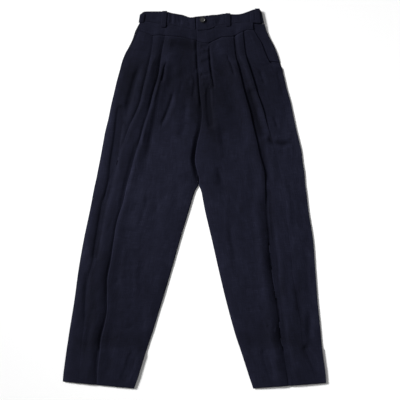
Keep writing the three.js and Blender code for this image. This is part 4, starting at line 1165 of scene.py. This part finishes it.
def panel_rows(side):
    """Row positions down a leg, and those of the hem that turns up inside it."""
    down, length = even_rows(side, FRONT_ROWS)
    hem_start = np.interp(length - HEM_DEPTH, np.linspace(0, length, FRONT_ROWS), down)
    return down, np.linspace(down[-1], hem_start, HEM_ROWS)


def hem_turn(rows_down, rows_up):
    """How far each row of a panel lies into the leg, and how far the turn reaches out below it."""
    into = np.concatenate([np.zeros(rows_down), [HEM_TURN_SHARE], np.ones(rows_up)])[:, None] * HEM_DROP
    out = np.concatenate([np.zeros(rows_down), [HEM_TURN_OUT], np.zeros(rows_up)])[:, None]
    return into, out


def seam_dip(side, share, v):
    """How far the yoke seam, and the cloth just under it, lies off a straight line."""
    dip = np.array(SEAM_DIP[side], float)
    return np.interp(share, dip[:, 0], dip[:, 1]) * (1 - smooth(v / SEAM_DIP_ROWS))


def front_panel(side):
    """A front leg with its pleats and creases, and its hem turned up inside."""
    down, up = panel_rows(side)
    into, out = hem_turn(FRONT_ROWS, HEM_ROWS)
    sec = Sections(side, np.concatenate([down, down[-1:], up]))
    across, layer, share = front_line(sec)
    x = sec.ox + sec.ax * across
    y = sec.oy + sec.ay * across + seam_dip(side, across / sec.width, sec.v)
    base = 2 * wall_at(side, x, y) + SEAM_GAP - CLOTH / 2 + waist_raise(sec.v)
    z = base + front_stand(sec, across, x, y, share) + layer
    z = z + ripple(x, y, f"front_{side}") * smooth(across / UNEVEN_FROM_SIDE) - into
    y = y - out
    TOP_EDGE[side] = (x[0].copy(), z[0].copy())
    # The cloth's colour tone: its wear, the painted highlight along its seams, and the patches of painted
    # light and shade.
    worn = wear_and_edge_highlight(sec, across, y, share, down[-1]) * (into == 0) + painted_light_and_shade(side, x, y)
    cut_piece(f"front_leg_panel_{side}", f"front_{side}", (x, y, z), CLOTH_DOWN, f"back_{side}", worn)


def back_panel(side):
    """The back lies flat on the table, with its own turned-up hem inside."""
    down, up = panel_rows(side)
    centre = CENTRE_BACK_X + SIGN[side] * BACK_SEAM_GAP / 2
    hip = BACK_HIP[side].astype(float)
    hip[:, 2] = centre
    below = through(SECTIONS[side], down[down >= BACK_FIRST_ROW[side]])
    below[below[:, 3] > CROTCH_Y, 2] = centre
    hip_rows = through(np.vstack([hip, below[:1]]), np.linspace(0, len(hip), HIP_ROWS)[:-1])
    turned = through(SECTIONS[side], up)
    rows = np.vstack([hip_rows, below, below[-1:], turned])
    into, out = hem_turn(len(hip_rows) + len(below), len(turned))
    t = np.linspace(0, 1, BACK_COLUMNS)[None, :]
    x = lerp(rows[:, 0:1], rows[:, 2:3], t)
    y = lerp(rows[:, 1:2], rows[:, 3:4], t) - out
    z = SHELL / 2 + into + np.clip(fold_heights(BACK_CREASES[side], x, y), 0, BACK_CREASE_TOP)
    cut_piece(f"back_leg_panel_{side}", f"back_{side}", (x, y, z), CLOTH_DOWN)


# The yokes, the pocket facings and the band


def band_ends(side, x):
    """The band's top and bottom y where its line crosses x."""
    rows = BAND[side]
    order = np.argsort(rows[:, 0])
    return np.interp(x, rows[order, 0], rows[order, 1]), np.interp(x, rows[order, 2], rows[order, 3])


def band_top_z(side, x):
    """The height of the band's top layer: the left half lies over the right one at the fly."""
    x = np.asarray(x, float)
    if side == "right":
        return np.full_like(x, BAND_FRONT_Z)
    return lerp(BAND_LAP_Z, BAND_FRONT_Z, smooth((x - BAND_LAP_LENGTH) / BAND_LAP_FALL))


def over_back_loop(x):
    """The rise of the band's lower layer over the back belt loop."""
    away = np.abs(x - BACK_LOOP_X) - LOOP_WIDTH / 2 - BACK_LOOP_CLEAR
    return BACK_RAISE * (1 - smooth(away / BACK_LOOP_RAMP))


def front_top_z(side, xs):
    """The height of the highest cloth at the front's top edge, evened out along it."""
    edge_x, edge_z = TOP_EDGE[side]
    heights = np.empty_like(xs)
    for k, at in enumerate(xs):
        crossings = [
            lerp(edge_z[i], edge_z[i + 1], (at - edge_x[i]) / (edge_x[i + 1] - edge_x[i] or 1))
            for i in np.nonzero((edge_x[:-1] - at) * (edge_x[1:] - at) <= 0)[0]
        ]
        heights[k] = max(crossings) if crossings else edge_z[-1]
    spread = bell(np.arange(-YOKE_SPREAD, YOKE_SPREAD + 1) / (YOKE_SPREAD / 2))
    return np.convolve(np.pad(heights, YOKE_SPREAD, mode="edge"), spread / spread.sum(), mode="valid")


def yoke(side):
    """A hip yoke, from the band's lower edge down to the pleats."""
    ox, oy, ix, iy = SECTIONS[side][0]
    xs = np.linspace(ox - SIGN[side], TOP_EDGE[side][0][-1], YOKE_COLUMNS)
    share = (xs - ox) / (ix - ox)
    seam_y = lerp(oy, iy, share) + seam_dip(side, share, 0)
    lap = YOKE_POCKET_LAP_SHARE * pocket_lift(np.abs(xs - ox))
    if side == "left":
        lap = np.maximum(lap, YOKE_FLY_LAP_SHARE * fly_lift(xs - xs[-1]))
    high_z = BAND_FRONT_Z + YOKE_HIGH_CLEAR + lap
    low_z = YOKE_LOW_CLEAR + front_top_z(side, xs)
    t = np.linspace(0, 1, YOKE_ROWS)[:, None]
    x = np.repeat(xs[None, :], YOKE_ROWS, axis=0)
    y = lerp(band_ends(side, xs)[1] - SEAM_GAP, seam_y + SEAM_GAP, t)
    z = lerp(high_z, low_z, smooth(t))
    z = z + YOKE_CROWN * np.sin(math.pi * t) * smooth(np.abs(xs - xs[-1]) / YOKE_CROWN_REACH)
    z = z + ripple(x, y, "yoke")
    cut_piece(f"hip_yoke_{side}", f"front_yoke_{side}", (x, y, z), CLOTH_ALONG, f"back_{side}")


def facing(side):
    """A pocket facing, from under the pocket's edge to the side seam."""
    v = np.linspace(0, len(FACINGS[side]) - 1, FACING_ROWS)
    rows = through(FACINGS[side], v)
    t = np.linspace(0, 1, FACING_COLUMNS)[None, :]
    x = lerp(rows[:, 0:1] - SIGN[side] * FACING_UNDER, rows[:, 2:3], t)
    y = lerp(rows[:, 1:2], rows[:, 3:4], t)
    raised = waist_raise(v - 1) + FACING_RAISE * (1 - smooth(v / FACING_RAISE_ROWS))
    z = CLOTH + SEAM_GAP + CLOTH / 2 + raised[:, None] + ripple(x, y, "facing")
    name = f"pocket_facing_{side}"
    cut_piece(f"{name}_cloth", name, (x, y, z), CLOTH_DOWN, f"back_{side}")


def band_stations(side):
    """Lines across the band: top x and y, bottom x and y, height, and 1 where it is the top layer."""
    rows = BAND[side].astype(float)
    edge = rows[-1]
    front = through(rows, np.linspace(0, len(rows) - 1 - BAND_END_SHORT, BAND_FRONT_STEPS))
    stations = [[*row, float(band_top_z(side, row[0])), 1.0] for row in front]
    for a in np.linspace(0, math.pi, BAND_TURN_STEPS):
        reach = SIGN[side] * BAND_TURN_RADIUS * (math.sin(a) - 1)
        height = BAND_BACK_Z + BAND_TURN_RADIUS * (1 + math.cos(a))
        stations.append([edge[0] + reach, edge[1], edge[2] + reach, edge[3], height, 0.0])
    past_turn = edge[0] - SIGN[side] * (BAND_TURN_RADIUS + BAND_TURN_CLEAR)
    centre = CENTRE_BACK_X + SIGN[side] * SEAM_GAP / 2
    hip_x, hip_y, _, centre_y = BACK_HIP[side][0]
    for at in np.linspace(past_turn, centre, BAND_BACK_STEPS):
        low_y = lerp(hip_y, centre_y, np.clip((at - hip_x) / (CENTRE_BACK_X - hip_x), 0, 1))
        top_y = max(low_y + BAND_BACK_LEAST, band_ends(side, at)[0] - BAND_BACK_SHORTER)
        height = BAND_BACK_Z + over_back_loop(at)
        stations.append([at, top_y, at, low_y + SEAM_GAP, float(height), 0.0])
    return np.array(stations)


def waistband(side):
    """Half the band: along its top layer, round the side edge, and back along the lower layer."""
    stations = band_stations(side)
    top_x, top_y, low_x, low_y, height, on_top = (stations[:, k : k + 1] for k in range(6))
    t = np.linspace(0, 1, BAND_ROWS)[None, :]
    x = lerp(top_x, low_x, t)
    y = lerp(top_y, low_y, t)
    z = height + on_top * (fold_heights(BAND_MARKS[side], x, y) + ripple(x, y, "band"))
    name = f"waistband_{side}"
    thick = {"thickness": BAND_SHELL, "lift": BAND_CLOTH / 2, "rounded": BAND_ROUND}
    cut_piece(f"{name}_cloth", name, (x.T, y.T, z.T), CLOTH_ALONG, **thick)


# The belt loops


def loop_stand(t, length):
    """How far a loop's middle stands off what it is sewn to, at the shares t of its length."""
    from_end = np.minimum(t, 1 - t) * length
    return SEAM_GAP + LOOP_CLOTH / 2 + LOOP_STAND * smooth(from_end / LOOP_BEND)


def belt_loop(name, x, y, z):
    thick = {"thickness": LOOP_SHELL, "lift": LOOP_CLOTH / 2, "rounded": LOOP_ROUND}
    cut_piece(f"{name}_cloth", name, (x, y, z), CLOTH_DOWN, **thick)


def front_loops():
    """The loops on the front of the band, each a little crowned across."""
    t = np.linspace(0, 1, LOOP_ROWS)[:, None]
    w = np.linspace(-0.5, 0.5, LOOP_COLUMNS)[None, :]
    for name, (x0, y0, x1, y1) in LOOPS.items():
        side = "right" if x0 < 0 else "left"
        under = float(band_top_z(side, x0)) + BAND_CLOTH / 2
        stand = loop_stand(t, math.hypot(x1 - x0, y1 - y0))
        z = under + stand + LOOP_CROWN * np.cos(w * math.pi)
        belt_loop(name, lerp(x0, x1, t) + w * LOOP_WIDTH, lerp(y0, y1, t) + 0 * w, z)


def side_loop():
    """The loop that goes round the band's right side edge."""
    (top_x, top_y), (low_x, low_y) = SIDE_LOOP["top"], SIDE_LOOP["bottom"]
    on_top = SIDE_LOOP["on_top"]
    t = np.linspace(0, 1, SIDE_LOOP_ROWS)[:, None]
    off = BAND_TURN_RADIUS + BAND_CLOTH / 2 + loop_stand(t, top_y - low_y)
    centre_x = lerp(top_x, low_x, t) + BAND_TURN_RADIUS
    centre_z = (BAND_FRONT_Z + BAND_BACK_Z) / 2
    flat = np.linspace(on_top, 1, SIDE_LOOP_FLAT_COLUMNS)[None, :]
    angles = np.linspace(0, SIDE_LOOP_WRAP, SIDE_LOOP_ROUND_COLUMNS)[None, :]
    pressed = SIDE_LOOP_PRESSED * smooth((flat - on_top) / SIDE_LOOP_PRESS_REACH + 1)
    x = np.concatenate([centre_x + flat, centre_x - np.sin(angles) * off], axis=1)
    z = np.concatenate([centre_z + off - pressed, centre_z + np.cos(angles) * off], axis=1)
    belt_loop("belt_loop_side_right", x, lerp(top_y, low_y, t) + np.zeros_like(x), z)


def back_loop():
    """The loop at the centre back, flat under the band."""
    y = np.linspace(BACK_LOOP_TOP, BACK_LOOP_BOTTOM, BACK_LOOP_ROWS)[:, None]
    w = np.linspace(-0.5, 0.5, BACK_LOOP_COLUMNS)[None, :]
    x = BACK_LOOP_X + w * LOOP_WIDTH + 0 * y
    belt_loop("belt_loop_back", x, y + 0 * w, np.full_like(x, LOOP_CLOTH / 2))


# The sewing and the button

STITCH_THICK = 0.42
STITCH_ABOVE = 0.02
STITCH_AHEAD = 0.5
STITCH_SIDES = 6
STITCH_RINGS = 4

# Each kind of sewing: the distance from stitch to stitch, the length of one, and the paths that it follows.
STITCHING = {
    "fly_stitching": (3.2, 2.3, [
        [(38.1, 414.5), (39.7, 395.6), (42.4, 368.6), (46.2, 336.2), (45.6, 314.6), (40.8, 298.4),
         (32.1, 285.9), (20.3, 279.5)],
    ]),
    "band_stitching": (3.2, 2.3, [
        [(-10, 485), (-34, 492), (-58, 496), (-93, 501), (-115, 501), (-136, 500)],
        [(8, 457), (-11, 461), (-34, 465), (-57, 470), (-76, 470), (-95, 474), (-117, 478), (-137, 480)],
        [(10, 487), (31, 489), (61, 492), (80, 495), (112, 493), (128, 495), (148, 502), (172, 506)],
        [(10, 456), (31, 458), (47, 462), (60, 469), (79, 472), (97, 474), (128, 477), (147, 478),
         (178, 476)],
    ]),
    "hem_stitching": (6.5, 1.6, [
        [(-320, -394.5), (-290.3, -400.1), (-239, -404.7), (-201.2, -409.3), (-168.8, -413.4)],
        [(148.8, -405.3), (171.5, -402), (212, -401), (257.9, -398.8), (293, -396.1), (341.6, -390.7)],
    ]),
}


def along_path(path, pitch):
    """Places and directions at even steps along a path of points."""
    p = np.array(path, float)
    d = np.concatenate([[0], np.cumsum(np.hypot(*np.diff(p, axis=0).T))])
    at = np.arange(pitch / 2, d[-1], pitch)
    x, y = np.interp(at, d, p[:, 0]), np.interp(at, d, p[:, 1])
    ahead = np.clip(at + STITCH_AHEAD, 0, d[-1])
    dx, dy = np.interp(ahead, d, p[:, 0]) - x, np.interp(ahead, d, p[:, 1]) - y
    return zip(x, y, np.arctan2(dy, dx))


def sew(name, pitch, length, paths):
    """Rows of stitches that lie in the cloth along the paths."""
    bm = bmesh.new()
    shape = Matrix.Diagonal((length / 2 * MM, STITCH_THICK / 2 * MM, STITCH_THICK / 2 * MM, 1))
    for path in paths:
        for x, y, angle in along_path(path, pitch):
            on_cloth = Vector((x, y, surface_z(x, y) + STITCH_ABOVE)) * MM
            turned = Matrix.Translation(on_cloth) @ Matrix.Rotation(angle, 4, "Z")
            sizes = {"u_segments": STITCH_SIDES, "v_segments": STITCH_RINGS, "radius": 1}
            bmesh.ops.create_uvsphere(bm, matrix=turned @ shape, **sizes)
    for face in bm.faces:
        face.smooth = True
    obj = place(name, bm)
    obj.data.materials.append(THREAD)
    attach(obj, "root")


def finish_button():
    """Polishes the waist button, which keeps its own shape."""
    finish = button_material()
    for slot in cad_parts["waist_button"].material_slots:
        slot.material = finish


# The table, the lights and the camera

TABLE_HALF = 3
TABLE_CLEAR = 0.05

# The lights, which all point at the garment: kind, name, place, power and sizes.
LIGHTS = [
    ("SUN", "low_window_light", (-2.3, 1.25, 1.25), 5.6, {"angle": math.radians(14)}),
    ("AREA", "ceiling_light", (0.1, 0.2, 3.4), 14, {"size": 2.2}),
    ("AREA", "light_under_the_table", (0.2, -0.3, -2.2), 26, {"size": 2.4}),
    ("SPOT", "thigh_light", (-2.0, 1.1, 1.3), 120,
     {"spot_size": math.radians(26), "spot_blend": 1, "shadow_soft_size": 0.3}),
]
ROOM_LIGHT = 0.16

# The camera looks straight down on the garment, with this much of the table in view.
VIEW_WIDTH = 1080
VIEW_CENTRE = (14.85, -4.05)
LENS = 85
SENSOR = 36


def table():
    """The pale table, just clear of the cloth."""
    bm = bmesh.new()
    low = Matrix.Translation((0, 0, -TABLE_CLEAR * MM))
    bmesh.ops.create_grid(bm, x_segments=1, y_segments=1, size=TABLE_HALF, matrix=low)
    floor = place("table_top", bm)
    floor.data.materials.append(table_material())


def lights():
    for kind, name, at, power, sizes in LIGHTS:
        light = bpy.data.lights.new(name, kind)
        light.energy = power
        for key, value in sizes.items():
            setattr(light, key, value)
        obj = bpy.data.objects.new(name, light)
        bpy.context.collection.objects.link(obj)
        obj.location = at
        obj.rotation_euler = (-Vector(at)).to_track_quat("-Z", "Y").to_euler()
    world = bpy.data.worlds.new("studio")
    bpy.context.scene.world = world
    world.use_nodes = True
    background = world.node_tree.nodes["Background"]
    background.inputs["Color"].default_value = (1, 1, 1, 1)
    background.inputs["Strength"].default_value = ROOM_LIGHT


def camera_above():
    camera = bpy.data.cameras.new("camera")
    camera.lens = LENS
    camera.sensor_width = SENSOR
    camera_object = bpy.data.objects.new("camera", camera)
    bpy.context.collection.objects.link(camera_object)
    height = VIEW_WIDTH * LENS / SENSOR
    camera_object.location = (VIEW_CENTRE[0] * MM, VIEW_CENTRE[1] * MM, height * MM)
    bpy.context.scene.camera = camera_object
    bpy.context.scene.view_settings.view_transform = "Standard"


for side in ("right", "left"):
    front_panel(side)
    back_panel(side)
for side in ("right", "left"):
    yoke(side)
    facing(side)
    waistband(side)
front_loops()
side_loop()
back_loop()
for name, (pitch, length, paths) in STITCHING.items():
    sew(name, pitch, length, paths)
finish_button()
table()
lights()
camera_above()
